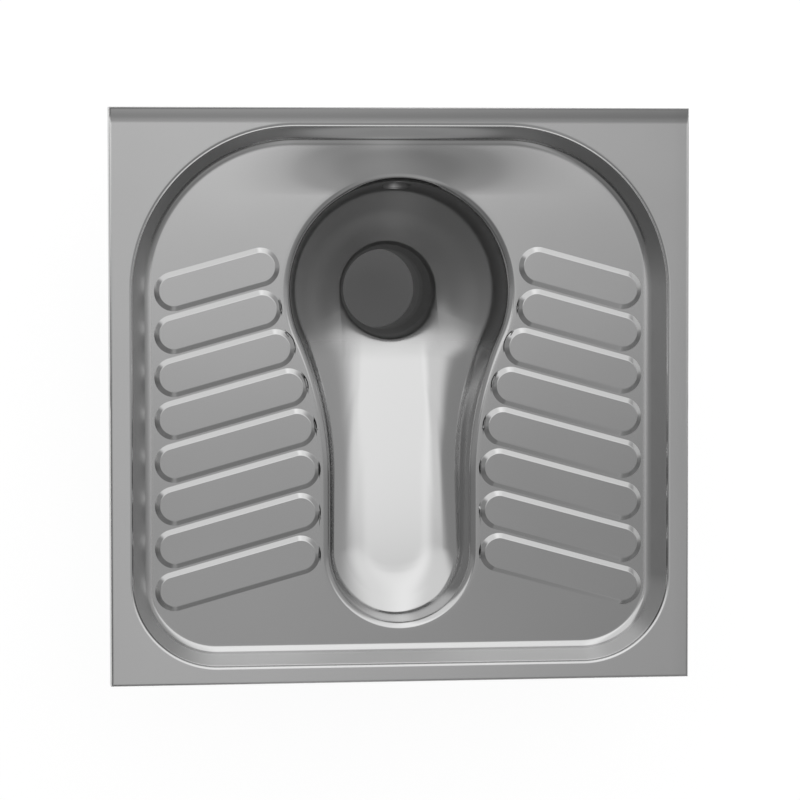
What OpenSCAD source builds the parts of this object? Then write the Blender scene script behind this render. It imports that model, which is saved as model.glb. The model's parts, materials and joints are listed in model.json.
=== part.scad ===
// Floor-set squat toilet pan of pressed stainless steel, in millimetres.
// The origin is on the floor under the middle of the pan; +Y is the rear, +Z is up.

/* [Tray] */
// Width of the tray, side to side
tray_w = 600; // [570:5:640]
// Length of the tray, front to rear
tray_l = 590; // [575:5:640]
// Thickness of the pressed sheet
sheet_t = 1.5; // [1:0.25:2]
// Height of the flange above the floor that the feet stand on
stand_h = 230; // [225:5:280]
// Height of the turned-down outer edge
edge_h = 15; // [10:1:22]
// Width of the flat flange at the sides
flange_side = 19.5; // [15:0.5:28]
// Width of the flat flange at the front and rear
flange_end = 15.7; // [12:0.1:20]
// Depth of the standing panel below the flange
step_h = 17.5; // [12:0.5:22]
// Width of the sloped border between flange and panel
step_w = 23; // [20:0.5:27]
// Inside radius of the bend at the top of the sloped border
step_top_bend = 6.5; // [4:0.5:7]
// Inside radius of the bend at the foot of the sloped border
step_foot_bend = 14; // [6:0.5:15]
// Radius of the rear corners at the top of the border
rear_r = 172; // [120:2:180]
// Radius of the front corners at the top of the border
front_r = 91; // [60:1:120]

/* [Treads] */
// Raised treads on each side
tread_count = 8; // [5:1:8]
// Distance from one tread to the next
tread_pitch = 43.9; // [43:0.1:50]
// Width of a tread at its foot
tread_w = 40.4; // [34:0.2:42]
// Height of the treads above the panel
tread_h = 4; // [3:0.5:5]
// Width of the curved wall round a tread
tread_wall = 5; // [4.5:0.25:7]
// Inside radius of the bend at the top of a tread
tread_top_bend = 0.9; // [0.6:0.1:1.2]
// Inside radius of the bend at the foot of a tread
tread_foot_bend = 2.4; // [1.5:0.1:2.6]
// Slant of the treads, rising towards the bowl, in degrees
tread_slant = 15.4; // [0:0.2:20]
// Distance from the tray's middle to the middle of the rearmost tread's axis
tread_rear_y = 117.6; // [100:0.2:122]
// Distance from the tray's middle line to where that axis is measured
tread_mid_x = 196; // [180:1:205]
// Gap between the treads and the foot of the sloped border
tread_side_gap = 4; // [3:0.5:12]
// Gap between the treads and the bowl's rolled rim
tread_rim_gap = 6; // [3:0.5:12]

/* [Bowl] */
// Radius of the round rear end of the bowl
head_r = 113; // [105:1:118]
// Distance of that round end's centre behind the tray's middle
head_y = 107; // [98:1:112]
// Half the width of the trough at its front end
trough_r = 72; // [66:1:78]
// Distance of the front end's centre ahead of the tray's middle
trough_y = 162; // [150:1:166]
// Radius of the bowl's drawn-in sides
neck_r = 360; // [260:10:460]
// Radius of the rolled rim
rim_r = 8; // [5:0.5:10]
// Wall of the bowl
bowl_t = 1.5; // [1:0.25:2]
// Slant of the upper wall from upright, in degrees
wall_draft = 10; // [6:1:14]
// Greatest depth of the upper wall below the panel
knee_h = 45; // [40:1:50]
// Depth of the upper wall as a share of the floor's, where the floor is shallow
knee_share = 0.8; // [0.6:0.05:0.85]
// Depth of the trough floor at its front end
trough_h = 38; // [34:1:44]
// Depth of the trough floor where it drops to the outlet
drop_h = 64; // [58:1:68]
// Radius of the floor's rounded edge at that drop
drop_r = 11; // [8:1:13]
// Width of the drop between the foot of the walls and the outlet
drop_w = 4; // [3:0.5:5]
// Slant of the dish round the outlet from level, in degrees
dish_slant = 42; // [38:1:44]
// Slant at which the floor sinks into the dish beside the outlet, in degrees
sink_slant = 38; // [30:1:42]
// Softness of the bend where it begins to sink
sink_blend = 4; // [3:1:8]
// Depth of the outlet's mouth below the panel
bowl_h = 98; // [94:1:106]
// Softness of the bend at the knee of the wall
knee_blend = 16; // [10:1:20]
// Softness of the bend between wall and floor
floor_blend = 12; // [8:1:16]
// Taper of the outlet's throat, from its mouth to its neck
throat_taper = 5; // [4:0.5:6]
// Height of the outlet's throat
throat_h = 28; // [22:1:32]
// Straight neck below the throat
neck_h = 19.5; // [14:0.5:22]

/* [Outlet] */
// Outer diameter of the outlet spigot
spigot_d = 88.9; // [80:0.1:92]
// Wall of the outlet spigot
spigot_t = 2; // [1.5:0.5:3]
// Length of the outlet spigot
spigot_l = 46; // [42:1:48]
// Bare length of the spigot below its locating bead
spigot_free_l = 22; // [15:1:24]
// Radius of the locating bead
bead_r = 1.5; // [1:0.25:2]
// Outer diameter of the rubber lip seal
seal_d = 108; // [104:1:112]
// Height of the rubber lip seal
seal_h = 18; // [12:1:19]
// Number of lips on the seal
seal_lips = 3; // [2:1:4]

/* [Flush inlet] */
// Outer diameter of the flush tube
inlet_d = 33.7; // [30:0.1:36]
// Wall of the flush tube
inlet_t = 2; // [1.5:0.25:2.5]
// Depth of the flush tube's axis below the panel
inlet_z = 27; // [26:0.5:30]
// Distance from the tray's rear edge to the end of the flush tube
inlet_back = 24; // [20:1:30]
// Outer diameter of the flush pipe that the connector takes
pipe_d = 32; // [28:1:34]
// Length of the connector's socket for the flush pipe
socket_l = 19; // [14:1:19]
// Length of the connector over the flush tube
grip_l = 18; // [14:1:22]
// Wall of the rubber connector
rubber_t = 3.5; // [2.5:0.25:4]
// Width of the clip's band
band_w = 9; // [7:1:12]
// Thickness of the clip's band
band_t = 0.8; // [0.6:0.1:1.2]

/* [Rails and brackets] */
// Distance from the tray's side edge in to the middle of a rail
rail_inset = 104; // [95:1:115]
// Distance from the tray's front or rear edge in to the middle of a foot
foot_inset = 105; // [95:1:125]
// Length of the rail beyond the middle of a foot
rail_over = 24; // [22:1:30]
// Width of the rails
rail_w = 40; // [32:1:46]
// Height of the rails
rail_h = 22; // [15:1:28]
// Sheet thickness of the rails
rail_t = 2; // [1.5:0.25:3]
// Drop of the bracket plate below the panel
bracket_drop = 45; // [42:1:55]
// Length of a bracket along its rail
bracket_l = 40; // [30:1:44]
// Sheet thickness of the brackets
bracket_t = 2.5; // [2:0.25:3]

/* [Levelling feet] */
// Diameter of the stud
stud_d = 10; // [8:1:12]
// Length of the stud above the bracket plate
stud_over = 22; // [19:1:24]
// Furthest that a foot screws in
foot_in = 15; // [5:1:16]
// Furthest that a foot screws out
foot_out = 18; // [5:1:18]
// Height of the weld nuts
nut_h = 8; // [6:0.5:10]
// Height of the lock nuts
lock_h = 5; // [4:0.5:6]
// Width across the flats of the nuts
nut_af = 17; // [16:1:19]
// Diameter of the foot plates
plate_d = 50; // [40:1:60]
// Height of the foot plates
plate_h = 13; // [10:1:16]
// Thickness of the rubber soles
sole_h = 3; // [2:0.5:5]
// Running clearance between a stud and the bores it passes
stud_gap = 0.3; // [0.3:0.05:0.5]

/* [Anchors, damping and earthing] */
// Width of the anchor straps
anchor_w = 30; // [20:1:40]
// Thickness of the anchor straps
anchor_t = 2; // [1.5:0.25:3]
// Height of the anchor straps
anchor_h = 75; // [50:1:90]
// Length of the bent foot of a strap
anchor_foot = 20; // [12:1:30]
// Distance of the straps from the middle line, left and right
anchor_x = 120; // [90:1:150]
// Hole in the anchor straps
anchor_hole_d = 9; // [7:0.5:11]
// Height of the hole above the strap's bent foot
anchor_hole_z = 18; // [12:1:24]
// Thickness of the damping sheets
damp_t = 3; // [2:0.5:4]
// Distance from a damping sheet to its neighbours
damp_gap = 5; // [3:0.5:10]
// Length of the damping sheets
damp_l = 170; // [120:5:180]
// Width of the earthing tab
tab_w = 20; // [16:1:26]
// Height of the earthing tab
tab_h = 38; // [34:1:44]
// Thickness of the earthing tab
tab_t = 2; // [1.5:0.25:3]
// Diameter of the earthing bolt
earth_d = 6; // [5:0.5:6]
// Free length of the earthing bolt beyond its nut
earth_free_l = 8; // [6:1:12]
// Distance of the earthing tab behind the middle
earth_y = 60; // [30:1:90]

/* [Hidden] */
$fn = 96;

steel = "#b9bcbd";
zinc = "#a3a8ac";
rubber = "#26282a";
nylon = "#3a3d40";
bitumen = "#2e2c2a";

left = -1;
right = 1;
front = -1;
rear = 1;

// Levels
panel_z = stand_h - step_h;
under_z = panel_z - sheet_t;
mouth_z = panel_z - bowl_h;
neck_z = mouth_z - throat_h - neck_h;
inlet_axis_z = panel_z - inlet_z;
bracket_z = under_z - bracket_drop;

// Clearances between pieces that are welded or pushed together
weld_gap = 0.3;
push_gap = 0.1;
// How far a cutting shape reaches beyond what it cuts
over = 1;
// How far a curved wall laps the flat sheet that it runs into
lap = 0.5;
// Corner radius of a hexagon for its width across flats
function hex_r(af) = af / 2 / cos(30);

// Border of the tray: half sizes at its top edge
border_x = tray_w / 2 - flange_side;
border_y = tray_l / 2 - flange_end;
// Middles of the feet
foot_x = tray_w / 2 - rail_inset;
foot_y = tray_l / 2 - foot_inset;
bend_steps = 4;

// Bowl outline: where its drawn-in side meets the round head
neck_x = trough_r + neck_r;
neck_y = head_y - sqrt(pow(head_r + neck_r, 2) - pow(neck_x, 2));
meet_a = atan2(neck_y - head_y, neck_x);

// Bowl wall: where the rolled rim ends and where the upright wall has its knee
rim_d = rim_r * (cos(wall_draft) - 1);
rim_h = rim_r * (1 - sin(wall_draft));
function knee_d(h) = rim_d + (h - rim_h) * tan(wall_draft);

// Bowl floor: the outlet in it, its half width, and the drop in front of the outlet
outlet_r = spigot_d / 2 - spigot_t;
mouth_r = outlet_r + throat_taper;
floor_r = mouth_r + drop_w;
front_end_y = -trough_y - trough_r;
floor_slope = (drop_h - trough_h) / (head_y - mouth_r - front_end_y);

// ---------- curves shared by the pressed shapes ----------

// Radii of the two bends on the upper face, kept within what the wall has room for
function bends(w, h, top, foot) =
    let (room = 0.98 * (w * w + h * h) / (2 * h), sum = top + sheet_t + foot)
    [top + sheet_t, foot] * min(1, room / sum);

// Steepest slant of a curved wall of width w and height h with bends of radii r
function slant(w, h, r) =
    let (sum = r[0] + r[1])
    atan2(h - sum, w) + asin(sum / sqrt(w * w + pow(h - sum, 2)));

// One face of the curved wall; grow is how far it lies below the upper face
function wall_face(w, h, r, grow) =
    let (a = slant(w, h, r) / bend_steps)
    concat(
        [for (i = [0 : bend_steps])
            [(r[0] - grow) * sin(a * i), -r[0] + (r[0] - grow) * cos(a * i)]],
        [for (i = [bend_steps : -1 : 0])
            [w - (r[1] + grow) * sin(a * i), r[1] - h - (r[1] + grow) * cos(a * i)]]
    );

function reversed(v) = [for (i = [len(v) - 1 : -1 : 0]) v[i]];

// Section through a curved wall, from its top edge out to its foot, lapping the flats at both
function wall_section(w, h, top, foot) =
    let (r = bends(w, h, top, foot))
    concat(
        [[-lap, 0]], wall_face(w, h, r, 0), [[w + lap, -h], [w + lap, -h - sheet_t]],
        reversed(wall_face(w, h, r, sheet_t)), [[-lap, -sheet_t]]
    );
step_section = wall_section(step_w, step_h, step_top_bend, step_foot_bend);
tread_section = wall_section(tread_wall, tread_h, tread_top_bend, tread_foot_bend);

// Smooth minimum and maximum of two depths
function soft_min(a, b, k) = min(a, b) - pow(max(k - abs(a - b), 0), 2) / (4 * k);
function soft_max(a, b, k) = -soft_min(-a, -b, k);

// ---------- bowl outline ----------

// Half width of the bowl at a distance y behind the middle
function bowl_half(y) =
    y > head_y ? head_r
    : y > head_y + head_r * sin(meet_a) ? sqrt(pow(head_r, 2) - pow(y - head_y, 2))
    : y > neck_y ? neck_x - sqrt(pow(neck_r, 2) - pow(y - neck_y, 2))
    : trough_r;

// Lines that run straight in from the outline's right half, from front to rear: where each
// starts, its direction, and how far along it the floor begins
front_steps = 8;
side_steps = 3;
neck_steps = 7;
head_steps = 15;
half_lines = concat(
    [for (i = [0 : front_steps - 1])
        let (a = -90 + 90 * i / front_steps, out = [cos(a), sin(a)])
        [[0, -trough_y] + trough_r * out, -out, trough_r - floor_r]],
    [for (i = [0 : side_steps - 1])
        [[trough_r, -trough_y + (neck_y + trough_y) * i / side_steps], [-1, 0], trough_r - floor_r]],
    [for (i = [0 : neck_steps - 1])
        let (a = 180 + meet_a * i / neck_steps, out = [cos(a), sin(a)])
        [[neck_x, neck_y] + neck_r * out, out, (floor_r - neck_x) / cos(a) - neck_r]],
    [for (i = [0 : head_steps])
        let (a = meet_a + (90 - meet_a) * i / head_steps, out = [cos(a), sin(a)])
        [[0, head_y] + head_r * out, -out, head_r - floor_r / (a < 0 ? cos(a) : 1)]]
);

// The same lines once round the whole outline
lines = concat(
    half_lines,
    [for (i = [len(half_lines) - 2 : -1 : 1])
        let (line = half_lines[i])
        [[-line[0][0], line[0][1]], [-line[1][0], line[1][1]], line[2]]]
);
ring_n = len(lines);
function along(line, d) = line[0] + d * line[1];
function foot(line) = along(line, line[2]);

// ---------- bowl depth ----------

function from_outlet(p) = norm(p - [0, head_y]);
// How far the floor's rounded edge drops at a distance out from the outlet's mouth
function edge_drop(out) = drop_r - sqrt(pow(drop_r, 2) - pow(min(drop_r, max(0, drop_r - out)), 2));
// The floor slopes to the outlet, and sinks into the dish on both sides of it
function floor_depth(p) =
    let (
        out = from_outlet(p) - mouth_r,
        sloping = trough_h + (p[1] - front_end_y) * floor_slope + edge_drop(out),
        sink = soft_max(0, (p[1] - head_y + mouth_r) * tan(sink_slant), sink_blend),
        dish = bowl_h - out * tan(dish_slant)
    )
    max(sloping, soft_min(sloping + sink, dish, floor_blend));
function knee(line) = min(knee_h, knee_share * floor_depth(foot(line)));
function lower_slope(line) =
    (floor_depth(foot(line)) - knee(line)) / (line[2] - knee_d(knee(line)));
function wall_depth(line, d) = soft_min(
    rim_h + (d - rim_d) / tan(wall_draft),
    knee(line) + (d - knee_d(knee(line))) * lower_slope(line),
    knee_blend
);

// How far a point of the floor lies inside its edge
function inside(p) = floor_r - norm([p[0], p[1] - max(-trough_y, min(head_y, p[1]))]);
function on_floor(line, p) = soft_min(
    floor_depth(p) + inside(p) * lower_slope(line), floor_depth(p), floor_blend
);

// ---------- bowl rings, from the panel down to the outlet ----------

roll_steps = 4;
wall_parts = [0.03, 0.07, 0.11, 0.16, 0.22, 0.3, 0.4, 0.52, 0.66, 0.8, 0.9, 1];
floor_parts = [0.05, 0.1, 0.16, 0.3, 0.55, 0.8, 0.9, 0.95, 0.965, 0.98, 0.99, 0.996];

function roll_ring(d, z) = [for (line = lines) let (p = along(line, d)) [p[0], p[1], z]];
function wall_ring(part) = [
    for (line = lines)
        let (d = rim_d + part * (line[2] - rim_d), p = along(line, d))
        [p[0], p[1], panel_z - soft_min(wall_depth(line, d), floor_depth(p), floor_blend)]
];
function mouth_point(line, r) = [0, head_y] + (foot(line) - [0, head_y]) * r / from_outlet(foot(line));
function mouth_ring(r, z) = [for (line = lines) let (p = mouth_point(line, r)) [p[0], p[1], z]];
function floor_ring(part) = [
    for (line = lines)
        let (
            p = foot(line) * (1 - part) + mouth_point(line, mouth_r) * part,
            mouth_part = pow(max(0, 1 - (from_outlet(p) - mouth_r) / drop_w), 3)
        )
        [p[0], p[1], panel_z - on_floor(line, p) * (1 - mouth_part) - bowl_h * mouth_part]
];

bowl_rings = concat(
    [for (i = [0 : roll_steps])
        let (a = (90 - wall_draft) * i / roll_steps)
        roll_ring(rim_r * (sin(a) - 1), panel_z - rim_r * (1 - cos(a)))],
    [for (part = wall_parts) wall_ring(part)],
    [for (part = floor_parts) floor_ring(part)],
    [mouth_ring(mouth_r, mouth_z), mouth_ring(outlet_r, mouth_z - throat_h), mouth_ring(outlet_r, neck_z)]
);
rings_n = len(bowl_rings);

// Direction out of the metal's lower face at ring i, point j
function out_dir(i, j) =
    i == 0 ? [0, 0, -1]
    : i == rings_n - 1 ? [bowl_rings[i][j][0], bowl_rings[i][j][1] - head_y, 0] / outlet_r
    : let (
        along = bowl_rings[i][(j + 1) % ring_n] - bowl_rings[i][(j + ring_n - 1) % ring_n],
        down = bowl_rings[i + 1][j] - bowl_rings[i - 1][j],
        n = cross(down, along)
    )
    n / norm(n);

bowl_inner = [for (ring = bowl_rings) each ring];
bowl_outer = [
    for (i = [0 : rings_n - 1], j = [0 : ring_n - 1]) bowl_rings[i][j] + bowl_t * out_dir(i, j)
];
skin_n = rings_n * ring_n;

function quad(a, b, c, d) = [[a, b, c], [a, c, d]];
bowl_faces = concat(
    [for (i = [0 : rings_n - 2]) for (j = [0 : ring_n - 1])
        let (k = (j + 1) % ring_n, a = i * ring_n, b = (i + 1) * ring_n)
        each quad(a + j, b + j, b + k, a + k)],
    [for (i = [0 : rings_n - 2]) for (j = [0 : ring_n - 1])
        let (k = (j + 1) % ring_n, a = skin_n + i * ring_n, b = skin_n + (i + 1) * ring_n)
        each quad(a + j, a + k, b + k, b + j)],
    [for (j = [0 : ring_n - 1])
        let (k = (j + 1) % ring_n)
        each quad(j, k, skin_n + k, skin_n + j)],
    [for (j = [0 : ring_n - 1])
        let (k = (j + 1) % ring_n, a = (rings_n - 1) * ring_n)
        each quad(a + j, skin_n + a + j, skin_n + a + k, a + k)]
);

// ---------- flat outlines ----------

// Rounded outline of the border, moved inwards by d
module border_shape(d) {
    x = border_x - d;
    y = border_y - d;
    rx = border_x - rear_r;
    ry = border_y - rear_r;
    fx = border_x - front_r;
    fy = border_y - front_r;
    polygon([[x, ry], [rx, y], [-rx, y], [-x, ry], [-x, -fy], [-fx, -y], [fx, -y], [x, -fy]]);
    for (side = [left, right]) {
        translate([side * rx, ry]) circle(rear_r - d);
        translate([side * fx, -fy]) circle(front_r - d);
    }
}

// Keyhole outline of the bowl, grown outwards by g
module bowl_shape(g) {
    polygon([for (line = lines) along(line, -g)]);
}

// Oval outline: two half rounds of radius r, their centres l apart
module oval(l, r) {
    translate([-l / 2, -r]) square([l, 2 * r]);
    for (side = [left, right]) translate([side * l / 2, 0]) circle(r, $fn = 48);
}

// ---------- treads ----------

tread_r = tread_w / 2;
tread_mid_r = tread_r - tread_wall / 2;
tread_out_x = border_x - step_w - tread_side_gap - tread_r;

// Middle line of tread k at a distance x from the middle
function tread_y(k, x) = tread_rear_y - k * tread_pitch + (tread_mid_x - x) * tan(tread_slant);
// Where its inner round end has its centre, kept clear of the bowl
function clear_x(y) = bowl_half(y) + rim_r + tread_rim_gap + tread_mid_r;
function tread_in_x(k) = clear_x(tread_y(k, clear_x(tread_y(k, head_r))));
function tread_l(k) = (tread_out_x - tread_in_x(k)) / cos(tread_slant);

module at_tread(side, k) {
    x = (tread_out_x + tread_in_x(k)) / 2;
    translate([side * x, tread_y(k, x)]) rotate(-side * tread_slant) children();
}

module tread(l) {
    top_r = tread_r - tread_wall;
    for (side = [left, right]) {
        translate([side * l / 2, 0, tread_h])
            rotate(-90 + (side == left ? 180 : 0))
                rotate_extrude(angle = 180, $fn = 48) translate([top_r, 0]) polygon(tread_section);
        rotate(side == left ? 180 : 0)
            translate([-l / 2, top_r, tread_h])
                rotate([90, 0, 90]) linear_extrude(l) polygon(tread_section);
    }
    translate([0, 0, tread_h - sheet_t]) linear_extrude(sheet_t) oval(l, top_r);
}

// ---------- tray ----------

// One straight run of the sloped border, from p along its length l
module border_run(p, turn, l) {
    translate([p[0], p[1], stand_h])
        rotate(turn)
            rotate([90, 0, 90])
                linear_extrude(l) polygon(step_section);
}

// One rounded corner of the sloped border
module border_corner(side, y, r, turn) {
    flipped = [for (p = step_section) [r - p[0], p[1]]];
    translate([side * (border_x - r), y, stand_h])
        rotate(turn)
            rotate_extrude(angle = 90) polygon(flipped);
}

module tray() {
    edge_z = stand_h - edge_h;
    side_l = 2 * border_y - rear_r - front_r;
    color(steel) {
        translate([0, 0, stand_h - sheet_t]) linear_extrude(sheet_t) difference() {
            square([tray_w, tray_l], center = true);
            border_shape(0);
        }
        translate([0, 0, edge_z]) linear_extrude(edge_h - sheet_t) difference() {
            square([tray_w, tray_l], center = true);
            square([tray_w - 2 * sheet_t, tray_l - 2 * sheet_t], center = true);
        }
        border_run([border_x, -(border_y - front_r)], 90, side_l);
        border_run([-border_x, border_y - rear_r], 270, side_l);
        border_run([border_x - rear_r, border_y], 180, 2 * (border_x - rear_r));
        border_run([-(border_x - front_r), -border_y], 0, 2 * (border_x - front_r));
        border_corner(right, border_y - rear_r, rear_r, 0);
        border_corner(left, border_y - rear_r, rear_r, 90);
        border_corner(left, front_r - border_y, front_r, 180);
        border_corner(right, front_r - border_y, front_r, 270);
        translate([0, 0, under_z]) linear_extrude(sheet_t) difference() {
            border_shape(step_w);
            bowl_shape(rim_r + weld_gap);
            for (side = [left, right], k = [0 : tread_count - 1])
                at_tread(side, k) oval(tread_l(k), tread_r);
        }
        translate([0, 0, panel_z])
            for (side = [left, right], k = [0 : tread_count - 1])
                at_tread(side, k) tread(tread_l(k));
    }
}

// ---------- bowl ----------

module bowl() {
    hole_r = inlet_d / 2 + push_gap;
    color(steel) difference() {
        polyhedron(points = concat(bowl_inner, bowl_outer), faces = bowl_faces, convexity = 8);
        translate([0, head_y + head_r / 2, inlet_axis_z])
            rotate([-90, 0, 0]) cylinder(h = head_r, r = hole_r, $fn = 48);
    }
}

module outlet_spigot() {
    bead_z = neck_z - spigot_l + spigot_free_l;
    color(steel) {
        translate([0, head_y, neck_z - spigot_l]) difference() {
            cylinder(h = spigot_l, d = spigot_d);
            translate([0, 0, -over]) cylinder(h = spigot_l + 2 * over, r = outlet_r);
        }
        translate([0, head_y, bead_z])
            rotate_extrude() translate([spigot_d / 2 - bead_r / 2, 0]) square([1.5 * bead_r, 2 * bead_r]);
    }
}

// Shape of a lip on the seal, as parts of the distance from one lip to the next
lip_rise = 0.5;
lip_top = 0.7;
lip_root = 0.6;

module outlet_seal() {
    inner = spigot_d / 2 + push_gap;
    sleeve = (seal_d / 2 - inner) / 3;
    reach = 2 * sleeve;
    pitch = seal_h / seal_lips;
    seat_z = neck_z - spigot_l + spigot_free_l + 2 * bead_r + push_gap;
    color(rubber) translate([0, head_y, seat_z]) rotate_extrude() {
        translate([inner, 0]) square([sleeve, seal_h]);
        for (i = [0 : seal_lips - 1])
            translate([inner + sleeve, i * pitch])
                polygon([[0, 0], [reach, lip_rise * pitch],
                    [reach, lip_top * pitch], [0, lip_root * pitch]]);
    }
}

// ---------- flush inlet ----------

inlet_start_y = head_y + head_r - knee_d(knee_h) - bowl_t;
inlet_end_y = tray_l / 2 - inlet_back;
grip_y = inlet_end_y - grip_l;
rubber_r = inlet_d / 2 + push_gap + rubber_t;
end_rib = 1;

module along_inlet(y) {
    translate([0, y, inlet_axis_z]) rotate([-90, 0, 0]) children();
}

module flush_inlet() {
    l = inlet_end_y - inlet_start_y;
    color(steel) along_inlet(inlet_start_y) difference() {
        cylinder(h = l, d = inlet_d);
        translate([0, 0, -over]) cylinder(h = l + 2 * over, d = inlet_d - 2 * inlet_t);
    }
}

module flush_connector() {
    l = grip_l + socket_l;
    color(rubber) along_inlet(grip_y) difference() {
        union() {
            cylinder(h = l, r = rubber_r);
            cylinder(h = rubber_t, r = rubber_r + end_rib);
            translate([0, 0, l - rubber_t]) cylinder(h = rubber_t, r = rubber_r + end_rib);
        }
        translate([0, 0, -over]) cylinder(h = grip_l + over, r = inlet_d / 2 + push_gap);
        translate([0, 0, grip_l - over]) cylinder(h = socket_l + 2 * over, d = pipe_d);
    }
}

// Clip: its band, the housing below it, and the screw's head
band_y = grip_y + grip_l / 2 - band_w / 2 + rubber_t / 2;
band_r = rubber_r + push_gap;
house_over = 0.5;
house_w = 13;
house_h = 6;
screw_head_l = 5;
screw_head_r = 3.6;
slot_w = 1;
slot_deep = 1.4;

module clip_band() {
    house_l = band_w + 2 * house_over;
    color(zinc) {
        along_inlet(band_y) difference() {
            cylinder(h = band_w, r = band_r + band_t);
            translate([0, 0, -over]) cylinder(h = band_w + 2 * over, r = band_r);
        }
        translate([-house_w / 2, band_y - house_over, inlet_axis_z - band_r - band_t - house_h])
            cube([house_w, house_l, house_h + band_t / 2]);
    }
}

module clip_screw() {
    screw_z = inlet_axis_z - band_r - band_t - house_h / 2;
    color(zinc) translate([house_w / 2, band_y + band_w / 2, screw_z]) rotate([0, 90, 0]) difference() {
        cylinder(h = screw_head_l, r = screw_head_r, $fn = 6);
        translate([-screw_head_r - over, -slot_w / 2, screw_head_l - slot_deep])
            cube([2 * (screw_head_r + over), slot_w, slot_deep + over]);
    }
}

// ---------- rails, brackets and nuts ----------

module rail(side) {
    l = 2 * (foot_y + rail_over);
    color(steel) translate([side * foot_x, 0, under_z]) difference() {
        translate([-rail_w / 2, -l / 2, -rail_h]) cube([rail_w, l, rail_h]);
        translate([-rail_w / 2 + rail_t, -l / 2 - over, -rail_h - over])
            cube([rail_w - 2 * rail_t, l + 2 * over, rail_h - rail_t + over]);
    }
}

module bracket(side, end) {
    wall_top = under_z - rail_t;
    out_w = rail_w + 2 * bracket_t;
    color(zinc) translate([side * foot_x, end * foot_y, bracket_z]) difference() {
        translate([-out_w / 2, -bracket_l / 2, -bracket_t])
            cube([out_w, bracket_l, wall_top - bracket_z + bracket_t]);
        translate([-rail_w / 2, -bracket_l / 2 - over, 0])
            cube([rail_w, bracket_l + 2 * over, bracket_drop]);
        translate([0, 0, -bracket_t - over]) cylinder(h = bracket_t + 2 * over, d = stud_d + 2 * stud_gap);
    }
}

module hex_nut(h) {
    difference() {
        cylinder(h = h, r = hex_r(nut_af), $fn = 6);
        translate([0, 0, -over]) cylinder(h = h + 2 * over, d = stud_d + 2 * stud_gap);
    }
}

module at_feet() {
    for (side = [left, right], end = [front, rear]) translate([side * foot_x, end * foot_y]) children();
}

module weld_nuts() {
    color(zinc) at_feet() translate([0, 0, bracket_z - bracket_t - nut_h]) hex_nut(nut_h);
}

module lock_nuts() {
    color(zinc) at_feet() translate([0, 0, bracket_z - bracket_t - nut_h - lock_h]) hex_nut(lock_h);
}

// ---------- levelling feet ----------

// Foot end of the stud, held in the plate's socket, and the collar that a spanner turns
ball_r = stud_d / 2 + 1;
socket_floor = 4;
ball_l = plate_h - socket_floor;
collar_gap = 1;
collar_h = 8;
stud_tip = 1;
// Shape of the foot plate and its sole
plate_rim = 5;
hub_wall = 4;
hub_flare = 2;
hub_h = 3;
sole_edge = 1;

module stud(side, end) {
    foot = sole_h + plate_h;
    collar_z = foot + collar_gap;
    top = bracket_z + stud_over;
    color(zinc) translate([side * foot_x, end * foot_y]) {
        translate([0, 0, foot - ball_l]) cylinder(h = ball_l + collar_gap, r = ball_r);
        translate([0, 0, collar_z]) cylinder(h = collar_h, r = hex_r(nut_af), $fn = 6);
        translate([0, 0, collar_z]) cylinder(h = top - collar_z - stud_tip, d = stud_d);
        translate([0, 0, top - stud_tip])
            cylinder(h = stud_tip, r1 = stud_d / 2, r2 = stud_d / 2 - stud_tip);
    }
}

module foot_plate(side, end) {
    hub_r = ball_r + hub_wall;
    color(nylon) translate([side * foot_x, end * foot_y, sole_h]) difference() {
        rotate_extrude() polygon([[0, 0], [plate_d / 2, 0], [plate_d / 2, plate_rim],
            [hub_r + hub_flare, plate_h - hub_h], [hub_r, plate_h], [0, plate_h]]);
        translate([0, 0, socket_floor]) cylinder(h = plate_h, r = ball_r + push_gap);
    }
}

module sole(side, end) {
    color(rubber) translate([side * foot_x, end * foot_y]) {
        cylinder(h = sole_edge, r1 = plate_d / 2 - sole_edge, r2 = plate_d / 2);
        translate([0, 0, sole_edge]) cylinder(h = sole_h - sole_edge, d = plate_d);
    }
}

// ---------- anchors, damping and earthing ----------

module anchor(side, end) {
    wall_y = tray_l / 2 - sheet_t - anchor_t;
    low_z = stand_h - sheet_t - anchor_h;
    color(zinc) mirror([0, end == front ? 1 : 0, 0]) difference() {
        union() {
            translate([side * anchor_x - anchor_w / 2, wall_y, low_z]) cube([anchor_w, anchor_t, anchor_h]);
            translate([side * anchor_x - anchor_w / 2, wall_y - anchor_foot, low_z])
                cube([anchor_w, anchor_foot, anchor_t]);
        }
        translate([side * anchor_x, wall_y - over, low_z + anchor_hole_z])
            rotate([-90, 0, 0]) cylinder(h = anchor_t + 2 * over, d = anchor_hole_d);
    }
}

module damper(side, end) {
    bowl_side = (end == front ? bowl_half(-damp_gap) : head_r) + rim_r + bowl_t;
    inner = bowl_side + damp_gap;
    outer = foot_x - rail_w / 2 - damp_gap;
    color(bitumen) mirror([side == left ? 1 : 0, 0, 0])
        translate([inner, end == front ? -damp_gap - damp_l : damp_gap, under_z - damp_t])
            cube([outer - inner, damp_l, damp_t]);
}

// Earthing screw: its height on the tab and its standard head, washer and nut
tab_x = -foot_x - rail_w / 2;
bolt_z = under_z - rail_h - 1.5 * earth_d;
washer_t = 1.2;
washer_r = earth_d;
earth_nut_h = 5;
earth_head_h = 4;
earth_af = 1.65 * earth_d;

module along_earth(x) {
    translate([x, earth_y, bolt_z]) rotate([0, -90, 0]) children();
}

module earth_tab() {
    color(steel) difference() {
        translate([tab_x - tab_t, earth_y - tab_w / 2, under_z - sheet_t - tab_h])
            cube([tab_t, tab_w, tab_h]);
        along_earth(tab_x + over) cylinder(h = tab_t + 2 * over, d = earth_d + 2 * push_gap);
    }
}

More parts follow.
